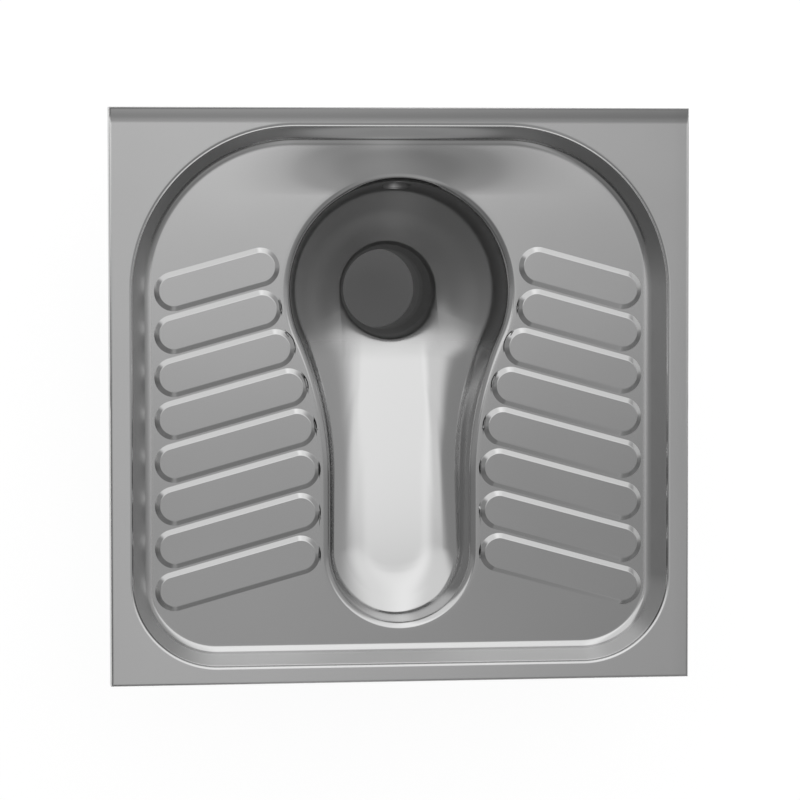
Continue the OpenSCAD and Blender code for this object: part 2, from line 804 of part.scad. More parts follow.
module earth_bolt() {
    l = 2 * washer_t + tab_t + earth_nut_h + earth_free_l;
    color(zinc) {
        along_earth(tab_x + washer_t) cylinder(h = l, d = earth_d);
        along_earth(tab_x + washer_t + earth_head_h)
            cylinder(h = earth_head_h, r = hex_r(earth_af), $fn = 6);
    }
}

module earth_washers() {
    for (x = [tab_x + washer_t, tab_x - tab_t])
        color(zinc) along_earth(x) difference() {
            cylinder(h = washer_t, r = washer_r);
            translate([0, 0, -over]) cylinder(h = washer_t + 2 * over, d = earth_d + 2 * push_gap);
        }
}

module earth_nut() {
    color(zinc) along_earth(tab_x - tab_t - washer_t) difference() {
        cylinder(h = earth_nut_h, r = hex_r(earth_af), $fn = 6);
        translate([0, 0, -over]) cylinder(h = earth_nut_h + 2 * over, d = earth_d + 2 * push_gap);
    }
}

tray();
bowl();
outlet_spigot();
outlet_seal();
flush_inlet();
flush_connector();
clip_band();
clip_screw();
rail(left);  // left_rail
rail(right);  // right_rail
bracket(left, front);  // front_left_bracket
bracket(right, front);  // front_right_bracket
bracket(left, rear);  // rear_left_bracket
bracket(right, rear);  // rear_right_bracket
weld_nuts();
lock_nuts();
stud(left, front);  // front_left_stud
stud(right, front);  // front_right_stud
stud(left, rear);  // rear_left_stud
stud(right, rear);  // rear_right_stud
foot_plate(left, front);  // front_left_plate
foot_plate(right, front);  // front_right_plate
foot_plate(left, rear);  // rear_left_plate
foot_plate(right, rear);  // rear_right_plate
sole(left, front);  // front_left_sole
sole(right, front);  // front_right_sole
sole(left, rear);  // rear_left_sole
sole(right, rear);  // rear_right_sole
anchor(left, front);  // front_left_anchor
anchor(right, front);  // front_right_anchor
anchor(left, rear);  // rear_left_anchor
anchor(right, rear);  // rear_right_anchor
damper(left, front);  // front_left_damper
damper(right, front);  // front_right_damper
damper(left, rear);  // rear_left_damper
damper(right, rear);  // rear_right_damper
earth_tab();
earth_bolt();
earth_washers();
earth_nut();
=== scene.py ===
import json
import math

import bmesh
import bpy
from mathutils import Matrix, Vector


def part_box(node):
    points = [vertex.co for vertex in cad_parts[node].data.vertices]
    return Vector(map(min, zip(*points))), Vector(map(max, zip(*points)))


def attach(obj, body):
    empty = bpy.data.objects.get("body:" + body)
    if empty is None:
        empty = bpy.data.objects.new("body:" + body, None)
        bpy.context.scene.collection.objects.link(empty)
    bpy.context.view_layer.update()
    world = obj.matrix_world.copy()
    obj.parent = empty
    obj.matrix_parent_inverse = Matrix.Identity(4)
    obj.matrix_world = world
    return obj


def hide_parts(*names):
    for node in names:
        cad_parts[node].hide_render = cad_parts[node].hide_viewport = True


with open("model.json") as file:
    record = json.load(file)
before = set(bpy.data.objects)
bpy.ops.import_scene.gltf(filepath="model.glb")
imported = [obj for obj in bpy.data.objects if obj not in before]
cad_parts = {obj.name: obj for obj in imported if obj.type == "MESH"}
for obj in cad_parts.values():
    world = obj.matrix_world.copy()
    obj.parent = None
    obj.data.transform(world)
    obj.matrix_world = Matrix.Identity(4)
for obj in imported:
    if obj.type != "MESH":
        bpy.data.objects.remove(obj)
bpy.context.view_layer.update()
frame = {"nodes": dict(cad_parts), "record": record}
scene = bpy.context.scene
ops = bmesh.ops
mm = 0.001
deg = math.pi / 180
print("frame loaded:", len(frame["nodes"]), "nodes")


def sizeOf(node):  # the lowest and highest corners of a CAD node, in millimetres
    return [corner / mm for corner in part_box(node)]


def middleOf(node):
    low, high = sizeOf(node)
    return (low + high) / 2


trayLow, trayHigh = sizeOf("tray")
bowlLow = sizeOf("bowl")[0]


class Wire:  # a socket that takes part in sums with numbers and other wires
    def __init__(self, graph, socket):
        self.graph = graph
        self.socket = socket

    def math(self, operation, *others):
        values = dict(enumerate((self, *others)))
        return self.graph.node("Math", {"operation": operation}, values)

    def __add__(self, other):
        return self.math("ADD", other)

    def __sub__(self, other):
        return self.math("SUBTRACT", other)

    def __rsub__(self, other):
        return self * -1.0 + other

    def __mul__(self, other):
        return self.math("MULTIPLY", other)

    def __truediv__(self, other):
        return self.math("DIVIDE", other)

    def __abs__(self):
        return self.math("ABSOLUTE")

    __radd__, __rmul__ = __add__, __mul__

    def smooth(self, low, high):  # 0 at low, 1 at high, with soft ends
        ends = {"Value": self, "From Min": low, "From Max": high}
        return self.graph.node("MapRange", {"interpolation_type": "SMOOTHSTEP"}, ends)


class Graph:  # the nodes of one material or world
    def __init__(self, tree):
        self.tree = tree
        tree.nodes.clear()

    def node(self, kind, settings=None, inputs=None, output=0):
        made = self.tree.nodes.new("ShaderNode" + kind)
        for name, value in (settings or {}).items():
            setattr(made, name, value)
        for name, value in (inputs or {}).items():
            if isinstance(value, Wire):
                self.tree.links.new(value.socket, made.inputs[name])
            else:
                made.inputs[name].default_value = value
        return Wire(self, made.outputs[output]) if made.outputs else None

    def spot(self):  # a point of the piece, in metres
        return self.node("TexCoord", output="Object")

    def partsOf(self, spot):  # its x, y and z
        return [self.node("SeparateXYZ", inputs={"Vector": spot}, output=axis) for axis in "XYZ"]

    def noise(self, scale, detail=2.0, stretch=(1, 1, 1)):
        spot = self.node("Mapping", inputs={"Vector": self.spot(), "Scale": stretch})
        return self.node("TexNoise", inputs={"Vector": spot, "Scale": scale, "Detail": detail})

    def cells(self, scale, output="Distance"):
        return self.node("TexVoronoi", inputs={"Vector": self.spot(), "Scale": scale}, output=output)

    def between(self, low, high, share):  # a colour between two, by a share from 0 to 1
        inputs = {"Factor": share, "A": low, "B": high}
        return self.node("Mix", {"data_type": "RGBA"}, inputs, output="Result")


def grey(level):
    return (level, level, level, 1.0)


def newMaterial(name):
    material = bpy.data.materials.new(name)
    material.use_nodes = True
    return material, Graph(material.node_tree)


def principled(graph, colour, metallic, roughness, height):
    surface = graph.node("BsdfPrincipled", inputs={
        "Base Color": colour, "Metallic": metallic, "Roughness": roughness,
        "Normal": graph.node("Bump", inputs={"Height": height, "Distance": 1.0}),
    })
    graph.node("OutputMaterial", inputs={"Surface": surface})


# The satin pressing: its tone and grain, and the slight bends of the sheet that its reflections show.
# A fade is a pair of places between which a look sets in: depths below the flange, places on the y axis
# or distances in from the sides. Tilts are slopes, and lengths are in metres
steelLook = {
    "tone": 0.62, "toneSpread": 0.015, "rough": 0.13, "roughSpread": 0.03, "cloudScale": 9.0,
    "waveHeight": 0.0001, "waveScale": 5.0, "grainHeight": 0.000002, "grainScale": 900.0,
    "flangeTilt": 0.02, "flangeTurn": 0.086, "flangeFade": (0.0012, 0.0004),
    "edgeWidth": 0.0165, "edgeTilt": 0.19, "sideTilt": 0.02,
    "dipFade": (0.205, 0.262), "dipHalf": 0.085, "dipTilt": 0.24, "dipSteepest": 1.5,
    "panelFade": (0.0215, 0.0185), "panelEndFade": (0.001, 0.015),
    "wallRough": 0.17, "sideFade": (0.046, 0.042), "wallFade": (0.0145, 0.012),
    "wallEndFade": (0.0004, 0.002),
    # painted shade: the dish tone and the fade on the next line darken the colour in the deep hollow round
    # the outlet
    "dishShadeTone": 0.68, "drawnRough": 0.26, "dishFade": (0.03, 0.075), "dullFade": (0.02, 0.03),
    "dishShadeFade": (0.03, 0.065),
}


def satinSteel(graph):
    look = steelLook
    x, y, z = graph.partsOf(graph.spot())
    halfX, halfY, top = trayHigh.x * mm, trayHigh.y * mm, trayHigh.z * mm

    def below(fade):
        return z.smooth(*(top - depth for depth in look[fade]))

    turn = look["flangeTurn"] / (2 * halfY)
    flange = y * (look["flangeTilt"] - turn * halfY) + y * y * (turn / 2)
    width = look["edgeWidth"]
    rearEdge = (y - (halfY - width)).math("MAXIMUM", 0.0)
    sideEdge = (x - (halfX - width)).math("MAXIMUM", 0.0)
    edges = (rearEdge * rearEdge * look["edgeTilt"] - sideEdge * sideEdge * look["sideTilt"]) / width
    across = x / look["dipHalf"]
    dipFrom, dipTo = look["dipFade"]
    dipRise = look["dipTilt"] * (dipTo - dipFrom) / look["dipSteepest"]
    dip = y.smooth(dipFrom, dipTo) * (across * across * -1.0).math("EXPONENT") * dipRise
    onPanel = below("panelFade") * below("panelEndFade")
    cloudy = graph.noise(look["cloudScale"], 3.0)
    fine = graph.noise(look["waveScale"], 1.0) * look["waveHeight"]
    fine = fine + graph.noise(look["grainScale"], 1.0) * look["grainHeight"]
    nearSides = abs(x).smooth(*(halfX - inset for inset in look["sideFade"]))
    onWall = below("wallFade").math("MAXIMUM", nearSides) * below("wallEndFade")
    # the deep-drawn dish round the outlet is duller than the flat sheet, and its colour is darkened as
    # painted shade in the deep hollow
    atDish = y.smooth(*look["dishFade"])
    dull = atDish * below("dullFade") * look["drawnRough"] + onWall * look["wallRough"]
    dull = dull + look["rough"] + (cloudy - 0.5) * look["roughSpread"]
    pale = [grey(look["tone"] + side * look["toneSpread"]) for side in (-1, 1)]
    dishShaded = [grey(level[0] * look["dishShadeTone"]) for level in pale]
    colours = [graph.between(*pair, cloudy) for pair in (pale, dishShaded)]
    # painted shade: the colour turns darker in the deep part of the dish
    colour = graph.between(*colours, atDish * below("dishShadeFade"))
    height = fine + (flange + edges) * below("flangeFade") + dip * onPanel
    principled(graph, colour, metallic=1.0, roughness=dull, height=height)


def millSteel(graph):  # rolled sheet and tube, duller than the pressing, with faint rolling lines
    lines = graph.noise(160.0, 3.0, stretch=(1, 0.05, 1))
    colour = graph.between(grey(0.42), grey(0.54), graph.noise(25.0, 3.0))
    principled(graph, colour, metallic=1.0, roughness=0.34 + (lines - 0.5) * 0.16,
               height=lines * 0.00003 + graph.noise(900.0) * 0.000006)


def zincSteel(graph):  # galvanised: pale flakes of slightly different tone and gloss
    flakes = graph.node("SeparateColor", inputs={"Color": graph.cells(170.0, "Color")}, output="Red")
    colour = graph.between((0.45, 0.47, 0.5, 1), (0.62, 0.64, 0.66, 1), flakes)
    rough = 0.3 + (flakes - 0.5) * 0.14 + (graph.noise(60.0) - 0.5) * 0.08
    principled(graph, colour, metallic=1.0, roughness=rough, height=graph.noise(500.0) * 0.00001)


def blackRubber(graph):  # moulded rubber with a little pale dust
    dust = graph.noise(70.0, 5.0).smooth(0.5, 0.75)
    principled(graph, graph.between(grey(0.018), grey(0.05), dust), metallic=0.0,
               roughness=0.56 + dust * 0.2, height=graph.noise(800.0, 3.0) * 0.00003)


def greyNylon(graph):  # moulded nylon with a fine spark pattern
    cloudy = graph.noise(40.0, 3.0)
    colour = graph.between((0.05, 0.053, 0.057, 1), (0.064, 0.067, 0.072, 1), cloudy)
    principled(graph, colour, metallic=0.0, roughness=0.42 + (cloudy - 0.5) * 0.12,
               height=graph.cells(1300.0) * 0.00004)


def bitumenSheet(graph):  # embossed sound-damping sheet: a lattice of small square pads, with dull patches
    x, y = graph.partsOf(graph.spot())[:2]
    pads = [((x + way * y) * 420.0).math("SINE") for way in (1.0, -1.0)]
    pad = abs(pads[0]).math("MINIMUM", abs(pads[1])).smooth(0.1, 0.5)
    patches = graph.noise(30.0, 4.0)
    principled(graph, graph.between(grey(0.017), grey(0.034), patches), metallic=0.0,
               roughness=0.66 + (patches - 0.5) * 0.2, height=pad * 0.0004 + graph.noise(600.0) * 0.00003)


finishes = {}
for slot, fill in (("satin_steel", satinSteel), ("mill_steel", millSteel), ("zinc_steel", zincSteel),
                   ("black_rubber", blackRubber), ("grey_nylon", greyNylon), ("bitumen_sheet", bitumenSheet)):
    finishes[slot], graph = newMaterial(fill.__name__)
    fill(graph)
slotOf = {part["node"]: part["material_slot"] for part in frame["record"]["subparts"]}
for name, node in frame["nodes"].items():
    node.data.materials.clear()
    node.data.materials.append(finishes[slotOf[name]])
print("finishes made:", len(finishes))


def objectOf(name, bm, unit=mm):
    ops.scale(bm, vec=(unit, unit, unit), verts=bm.verts)
    mesh = bpy.data.meshes.new(name)
    bm.to_mesh(mesh)
    bm.free()
    made = bpy.data.objects.new(name, mesh)
    scene.collection.objects.link(made)
    return made


def makePiece(name, bm, finish, node, body="pan", sharp=35.0, thickness=0.0, cutters=()):
    made = objectOf(name, bm)
    mesh = made.data
    mesh.materials.append(finishes[finish])
    if thickness:
        applyModifier(made, "SOLIDIFY", thickness=thickness * mm, offset=-1)
    for cutter in cutters:
        applyModifier(made, "BOOLEAN", operation="DIFFERENCE", object=cutter)
        bpy.data.objects.remove(cutter)
    mesh.shade_smooth()
    mesh.set_sharp_from_angle(angle=sharp * deg)
    weighted = made.modifiers.new("Weighted", "WEIGHTED_NORMAL")
    weighted.keep_sharp = True
    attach(made, body)
    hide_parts(node)


def applyModifier(made, kind, **settings):
    modifier = made.modifiers.new(kind.title(), kind)
    for name, value in settings.items():
        setattr(modifier, name, value)
    with bpy.context.temp_override(object=made, active_object=made):
        bpy.ops.object.modifier_apply(modifier=modifier.name)


near = 0.01  # how close, in millimetres, a point counts as on a place


def roundOff(bm, chosen, size, segments, affect):
    ops.bevel(bm, geom=chosen, offset=size, offset_type="OFFSET", segments=segments, profile=0.5,
              affect=affect, material=-1, clamp_overlap=affect == "EDGES")


def wayOf(a):  # one unit from the origin, at this angle
    return Vector((math.cos(a), math.sin(a)))


def ringOf(count, radius):  # places all round a circle
    return [wayOf(2 * math.pi * i / count) * radius for i in range(count)]


def flatFace(bm, corners, segments=4):  # a face in the plane z = 0 through (x, y, rounding) corners
    verts = [bm.verts.new((x, y, 0)) for x, y, rounding in corners]
    bm.faces.new(verts)
    for size in sorted({rounding for x, y, rounding in corners if rounding}):
        chosen = [vert for vert, corner in zip(verts, corners) if corner[2] == size]
        roundOff(bm, chosen, size, segments, "VERTICES")


def moveBy(bm, x, y, z):
    ops.translate(bm, vec=(x, y, z), verts=bm.verts)


def turnTo(bm, angle, axis):
    ops.rotate(bm, verts=bm.verts, matrix=Matrix.Rotation(angle, 3, axis))


def faceOut(bm):
    ops.recalc_face_normals(bm, faces=bm.faces)


def thicken(bm, x, y, z):  # draws the faces out to a solid
    made = ops.extrude_face_region(bm, geom=bm.faces[:])["geom"]
    fresh = [part for part in made if isinstance(part, bmesh.types.BMVert)]
    ops.translate(bm, vec=(x, y, z), verts=fresh)
    faceOut(bm)


def spun(corners, steps=96):  # a (radius, height, rounding) section spun round the z axis
    bm = bmesh.new()
    flatFace(bm, corners)
    ops.delete(bm, geom=bm.faces[:], context="FACES_ONLY")
    turnTo(bm, math.pi / 2, "X")
    ops.spin(bm, geom=bm.verts[:] + bm.edges[:], cent=(0, 0, 0), axis=(0, 0, 1), angle=2 * math.pi,
             steps=steps, use_merge=True)
    ops.remove_doubles(bm, verts=bm.verts, dist=0.001)
    ops.delete(bm, geom=[edge for edge in bm.edges if not edge.link_faces], context="EDGES")
    faceOut(bm)
    return bm


def drawnOut(corners, length):  # an (x, z, rounding) section drawn out along y, centred on y = 0
    bm = bmesh.new()
    flatFace(bm, corners)
    turnTo(bm, math.pi / 2, "X")
    moveBy(bm, 0, -length / 2, 0)
    thicken(bm, 0, length, 0)
    return bm


def addTo(bm, other):  # joins another shell to this one
    mesh = bpy.data.meshes.new("part")
    other.to_mesh(mesh)
    other.free()
    bm.from_mesh(mesh)
    bpy.data.meshes.remove(mesh)


def sharpEdges(bm, angle=80):
    return [edge for edge in bm.edges if edge.calc_face_angle(0) > angle * deg]


def easeEdges(bm, width, chosen=None, segments=2):
    roundOff(bm, sharpEdges(bm, 40) if chosen is None else chosen, width, segments, "EDGES")


def copyOf(node):  # a CAD node's mesh with its loose triangles joined, in millimetres
    bm = bmesh.new()
    bm.from_mesh(frame["nodes"][node].data)
    ops.scale(bm, vec=(1 / mm, 1 / mm, 1 / mm), verts=bm.verts)
    ops.remove_doubles(bm, verts=bm.verts, dist=0.005)
    ops.dissolve_limit(bm, angle_limit=deg, verts=bm.verts, edges=bm.edges)
    return bm


def weldDrop(bm, spot, size, detail=1):
    ops.create_icosphere(bm, subdivisions=detail, radius=size, matrix=Matrix.Translation(spot))


def weldBead(bm, start, end, size):  # a row of overlapping weld drops
    count = max(2, round((end - start).length / (size * 0.75)))
    for i in range(count + 1):
        weldDrop(bm, start.lerp(end, i / count), size, 2)


def cutterOf(radius, spot, axis="Z", depth=20, segments=64):  # a round cutter for a hole along this axis
    bm = bmesh.new()
    ops.create_cone(bm, cap_ends=True, segments=segments, radius1=radius, radius2=radius, depth=depth)
    if axis != "Z":
        turnTo(bm, math.pi / 2, "Y" if axis == "X" else "X")
    moveBy(bm, *spot)
    return objectOf("cutter", bm)


def closedLoop(bm, points, z):  # a ring of new vertices through these points
    ring = [bm.verts.new((x, y, z)) for x, y in points]
    for pair in zip(ring, ring[1:] + ring[:1]):
        bm.edges.new(pair)
    return ring


def edgesOf(bm, ring):
    return [bm.edges.get(pair) for pair in zip(ring, ring[1:] + ring[:1])]


def nextRing(bm, ring, spots):  # extrudes a ring and moves its copy to these spots
    made = ops.extrude_edge_only(bm, edges=edgesOf(bm, ring))["geom"]
    fresh = {v for v in made if isinstance(v, bmesh.types.BMVert)}
    copies = [next(e.other_vert(v) for e in v.link_edges if e.other_vert(v) in fresh) for v in ring]
    for vert, spot in zip(copies, spots):
        vert.co = spot
    return copies


def mitres(points):  # for each point of an anticlockwise outline, how it moves for an inset of 1
    moves = []
    for i, here in enumerate(points):
        before = (here - points[i - 1]).normalized()
        after = (points[(i + 1) % len(points)] - here).normalized()
        left = Vector((-before.y, before.x))
        both = left + Vector((-after.y, after.x))
        moves.append(both / both.dot(left))
    return moves


def insetRings(bm, ring, points, z, steps):  # rings inset from an outline by (inset, height) steps
    moves = mitres(points)
    for inset, height in steps:
        ring = nextRing(bm, ring, [(*(p + m * inset), z + height) for p, m in zip(points, moves)])
    return ring


def faceUp(bm, first):  # turns all faces one way, with the first of them by this measure looking up
    faceOut(bm)
    if max(bm.faces, key=first).normal.z < 0:
        ops.reverse_faces(bm, faces=bm.faces)


# The sheet of both pressings. A flat ring beside each bend keeps the flats' shading flat
sheetSize = {"thickness": 1.5, "bendSteps": 9, "flatRing": 1.0, "bendRoom": 0.98}


def wallCurve(width, drop, topBend, footBend):  # (inset, height) pairs from the top edge to the foot
    top = topBend + sheetSize["thickness"]
    room = sheetSize["bendRoom"] * (width * width + drop * drop) / (2 * drop)
    share = min(1, room / (top + footBend))
    top, foot = top * share, footBend * share
    rest = drop - top - foot
    slant = math.atan2(rest, width) + math.asin((top + foot) / math.hypot(width, rest))
    turns = [slant * i / sheetSize["bendSteps"] for i in range(sheetSize["bendSteps"] + 1)]
    upper = [(top * math.sin(a), top * (math.cos(a) - 1)) for a in turns]
    lower = [(width - foot * math.sin(a), foot * (1 - math.cos(a)) - drop) for a in reversed(turns)]
    return upper + lower


bowlSize = {"headR": 113, "headY": 107, "troughR": 72, "troughY": 162, "neckR": 360, "rimR": 8, "draft": 10,
            "kneeDepth": 45, "kneeShare": 0.8, "troughDepth": 38, "lipDepth": 64, "lipR": 11, "edgeWidth": 4,
            "dishSlant": 42, "sinkSlant": 38, "sinkBlend": 12, "depth": 98, "kneeBlend": 16,
            "floorBlend": 12, "throatTaper": 5, "throatHeight": 28, "outletR": 42.45, "frontSteps": 26,
            "sideSteps": 6, "neckSteps": 20, "headSteps": 46, "rollSteps": 10, "wallSteps": 30,
            "wallSpread": 1.6, "floorSteps": 36, "floorSpread": 2.2, "mouthFade": 3, "throatSteps": 6}
b = bowlSize
headMiddle = Vector((0, b["headY"]))
neckX = b["troughR"] + b["neckR"]
neckY = b["headY"] - math.sqrt((b["headR"] + b["neckR"]) ** 2 - neckX ** 2)
meetA = math.atan2(neckY - b["headY"], neckX)
mouthR = b["outletR"] + b["throatTaper"]
floorR = mouthR + b["edgeWidth"]
draft = b["draft"] * deg
rimD = b["rimR"] * (math.cos(draft) - 1)
rimH = b["rimR"] * (1 - math.sin(draft))
frontY = -b["troughY"] - b["troughR"]
floorSlope = (b["lipDepth"] - b["troughDepth"]) / (b["headY"] - mouthR - frontY)


def softMin(a, c, k):
    return min(a, c) - max(k - abs(a - c), 0) ** 2 / (4 * k)


def lipDrop(out):  # how far the floor's rounded edge drops, this far out from the outlet's mouth
    return b["lipR"] - math.sqrt(b["lipR"] ** 2 - min(b["lipR"], max(0, b["lipR"] - out)) ** 2)


def floorDepth(p):  # the floor slopes to the outlet, and sinks into the dish on both sides of it
    out = (p - headMiddle).length - mouthR
    sloping = b["troughDepth"] + (p.y - frontY) * floorSlope + lipDrop(out)
    sink = -softMin(0, (headMiddle.y - mouthR - p.y) * math.tan(b["sinkSlant"] * deg), b["sinkBlend"])
    room = -softMin(0, sloping - b["depth"] + out * math.tan(b["dishSlant"] * deg), b["sinkBlend"])
    return sloping + (sink * room / math.hypot(sink, room) if sink and room else 0)


def kneeInset(depth):
    return rimD + (depth - rimH) * math.tan(draft)


class Line:  # a straight line in from the bowl's outline to the edge of its floor
    def __init__(self, start, way, reach):
        self.start, self.way, self.reach = start, way, reach
        self.foot = start + way * reach
        self.footDepth = floorDepth(self.foot)
        self.knee = min(b["kneeDepth"], b["kneeShare"] * self.footDepth)
        self.slope = (self.footDepth - self.knee) / (reach - kneeInset(self.knee))

    def at(self, inset):
        return self.start + self.way * inset

    def wallSpot(self, part):
        inset = rimD + part * (self.reach - rimD)
        p = self.at(inset)
        wall = softMin(rimH + (inset - rimD) / math.tan(draft),
                       self.knee + (inset - kneeInset(self.knee)) * self.slope, b["kneeBlend"])
        return (p.x, p.y, panelZ - softMin(wall, floorDepth(p), b["floorBlend"]))

    def mouth(self, radius):
        return headMiddle + (self.foot - headMiddle).normalized() * radius

    def floorSpot(self, part):
        p = self.foot.lerp(self.mouth(mouthR), part)
        nearest = Vector((0, max(-b["troughY"], min(b["headY"], p.y))))
        level = floorDepth(p)
        depth = softMin(level + (floorR - (p - nearest).length) * self.slope, level, b["floorBlend"])
        fade = max(0, 1 - ((p - headMiddle).length - mouthR) / b["edgeWidth"]) ** b["mouthFade"]
        return (p.x, p.y, panelZ - depth * (1 - fade) - b["depth"] * fade)


def bowlLines():  # the lines once round, anticlockwise from the front
    made = []
    for i in range(b["frontSteps"]):
        out = wayOf(-math.pi / 2 + math.pi / 2 * i / b["frontSteps"])
        made.append((Vector((0, -b["troughY"])) + b["troughR"] * out, -out, b["troughR"] - floorR))
    for i in range(b["sideSteps"]):
        y = -b["troughY"] + (neckY + b["troughY"]) * i / b["sideSteps"]
        made.append((Vector((b["troughR"], y)), Vector((-1, 0)), b["troughR"] - floorR))
    for i in range(b["neckSteps"]):
        out = wayOf(math.pi + meetA * i / b["neckSteps"])
        reach = (floorR - neckX) / out.x - b["neckR"]
        made.append((Vector((neckX, neckY)) + b["neckR"] * out, out, reach))
    for i in range(b["headSteps"] + 1):
        out = wayOf(meetA + (math.pi / 2 - meetA) * i / b["headSteps"])
        reach = b["headR"] - floorR / (out.x if out.y < 0 else 1)
        made.append((headMiddle + b["headR"] * out, -out, reach))
    flip = Vector((-1, 1))
    made += [(start * flip, way * flip, reach) for start, way, reach in made[-2:0:-1]]
    return [Line(*line) for line in made]


lines = bowlLines()
# The flush tube, and its hole in the bowl's rear wall
inletSize = {"holeR": 16.95, "axisZ": 185.5, "outerR": 16.85, "wall": 2, "endY": 271, "length": 60,
             "frontEdge": 0.3, "rearEdge": 0.5, "slip": 0.2, "weldR": 1.3, "weldDrops": 64, "weldOut": 0.3,
             "weldBack": 0.4}


traySize = {"flangeSide": 19.5, "flangeEnd": 15.7, "stepDrop": 17.5, "stepWidth": 23, "stepTopBend": 4.5,
            "stepFootBend": 9, "rearCorner": 172, "frontCorner": 91, "cornerSteps": 40, "foldR": 2.0,
            "foldSteps": 5, "seam": 4}
treadSize = {"count": 8, "pitch": 43.9, "width": 40.4, "height": 3, "wall": 5.3, "topBend": 0.2,
             "footBend": 0.3, "slant": 15.4, "rearY": 117.6, "midX": 196, "sideGap": 4, "rimGap": 6,
             "segments": 48}
t = traySize
panelZ = trayHigh.z - t["stepDrop"]
borderX = trayHigh.x - t["flangeSide"]
borderY = trayHigh.y - t["flangeEnd"]


def borderOutline(bm):  # a rectangle whose corners are rounded by bevels, as an ordered ring
    ends = ops.create_grid(bm, x_segments=1, y_segments=1, size=1)["verts"]
    ops.scale(bm, vec=(borderX, borderY, 1), verts=ends)
    ops.translate(bm, vec=(0, 0, trayHigh.z), verts=ends)
    for side, radius in ((1, t["rearCorner"]), (-1, t["frontCorner"])):
        chosen = [v for v in bm.verts if v.co.y * side > borderY - near]
        roundOff(bm, chosen, radius, t["cornerSteps"], "VERTICES")
    face = bm.faces[:][0]
    ring = [loop.vert for loop in face.loops]
    if face.normal.z < 0:
        ring.reverse()
    ops.delete(bm, geom=[face], context="FACES_ONLY")
    return ring


def treadPlace(side, k):  # the middle and half length of a tread, kept clear of the bowl
    s = treadSize
    rise = math.tan(s["slant"] * deg)
    midR = (s["width"] - s["wall"]) / 2
    outX = borderX - t["stepWidth"] - s["sideGap"] - s["width"] / 2

    def lineY(x):
        return s["rearY"] - k * s["pitch"] + (s["midX"] - x) * rise

    def clearX(y):
        head = b["headY"] + b["headR"] * math.sin(meetA)
        if y > b["headY"]:
            half = b["headR"]
        elif y > head:
            half = math.sqrt(b["headR"] ** 2 - (y - b["headY"]) ** 2)
        elif y > neckY:
            half = neckX - math.sqrt(b["neckR"] ** 2 - (y - neckY) ** 2)
        else:
            half = b["troughR"]
        return half + b["rimR"] + s["rimGap"] + midR

    inX = clearX(lineY(clearX(lineY(b["headR"]))))
    x = (outX + inX) / 2
    return Vector((side * x, lineY(x))), (outX - inX) / math.cos(s["slant"] * deg) / 2


def treadRing(bm, side, k):  # the foot of a tread: a circle whose halves are drawn apart
    s = treadSize
    middle, half = treadPlace(side, k)
    ring = ops.create_circle(bm, radius=s["width"] / 2, segments=s["segments"])["verts"]
    ops.rotate(bm, verts=ring, matrix=Matrix.Rotation(math.pi / s["segments"], 3, "Z"))
    for end in (-1, 1):
        ops.translate(bm, vec=(end * half, 0, 0), verts=[v for v in ring if v.co.x * end > 0])
    ops.rotate(bm, verts=ring, matrix=Matrix.Rotation(-side * s["slant"] * deg, 3, "Z"))
    ops.translate(bm, vec=(middle.x, middle.y, panelZ), verts=ring)
    return ring


def makeTray():
    bm = bmesh.new()
    top, ringW = trayHigh.z, sheetSize["flatRing"]
    border = borderOutline(bm)
    outline = [v.co.xy for v in border]
    flange = edgesOf(bm, insetRings(bm, border, outline, top, [(-ringW, 0)]))
    corners = [Vector((x * (trayHigh.x - t["foldR"]), y * (trayHigh.y - t["foldR"])))
               for x, y in ((-1, -1), (1, -1), (1, 1), (-1, 1))]
    rim = closedLoop(bm, corners, top)
    flange += edgesOf(bm, insetRings(bm, rim, corners, top, [(ringW, 0)]))
    ops.triangle_fill(bm, use_beauty=True, edges=flange, normal=(0, 0, 1))
    turns = [math.pi / 2 * i / t["foldSteps"] for i in range(1, t["foldSteps"] + 1)]
    fold = [(-t["foldR"] * math.sin(a), -t["foldR"] * (1 - math.cos(a))) for a in turns]
    insetRings(bm, rim, corners, top, fold + [(-t["foldR"], trayLow.z - top)])
    wall = wallCurve(t["stepWidth"], t["stepDrop"], t["stepTopBend"], t["stepFootBend"])
    wall.append((t["stepWidth"] + ringW, -t["stepDrop"]))
    flat = edgesOf(bm, insetRings(bm, border, outline, top, wall[1:]))
    s = treadSize
    rise = wallCurve(s["wall"], s["height"], s["topBend"], s["footBend"])
    climb = [(s["wall"] - inset, s["height"] + height) for inset, height in reversed(rise)]
    climb.append((s["wall"] + ringW, s["height"]))
    for side in (-1, 1):
        for k in range(s["count"]):
            ring = treadRing(bm, side, k)
            points = [v.co.xy for v in ring]
            flat += edgesOf(bm, insetRings(bm, ring, points, panelZ, [(-ringW, 0)]))
            crown = insetRings(bm, ring, points, panelZ, climb[1:])
            ops.contextual_create(bm, geom=edgesOf(bm, crown))
    hole = closedLoop(bm, [line.at(-b["rimR"] - t["seam"]) for line in lines], panelZ)
    flat += edgesOf(bm, hole)
    ops.triangle_fill(bm, use_beauty=True, edges=flat, normal=(0, 0, 1))
    faceUp(bm, lambda face: face.calc_area())
    makePiece("tray_pressing", bm, "satin_steel", "tray", sharp=60, thickness=sheetSize["thickness"])


makeTray()
print("tray made")


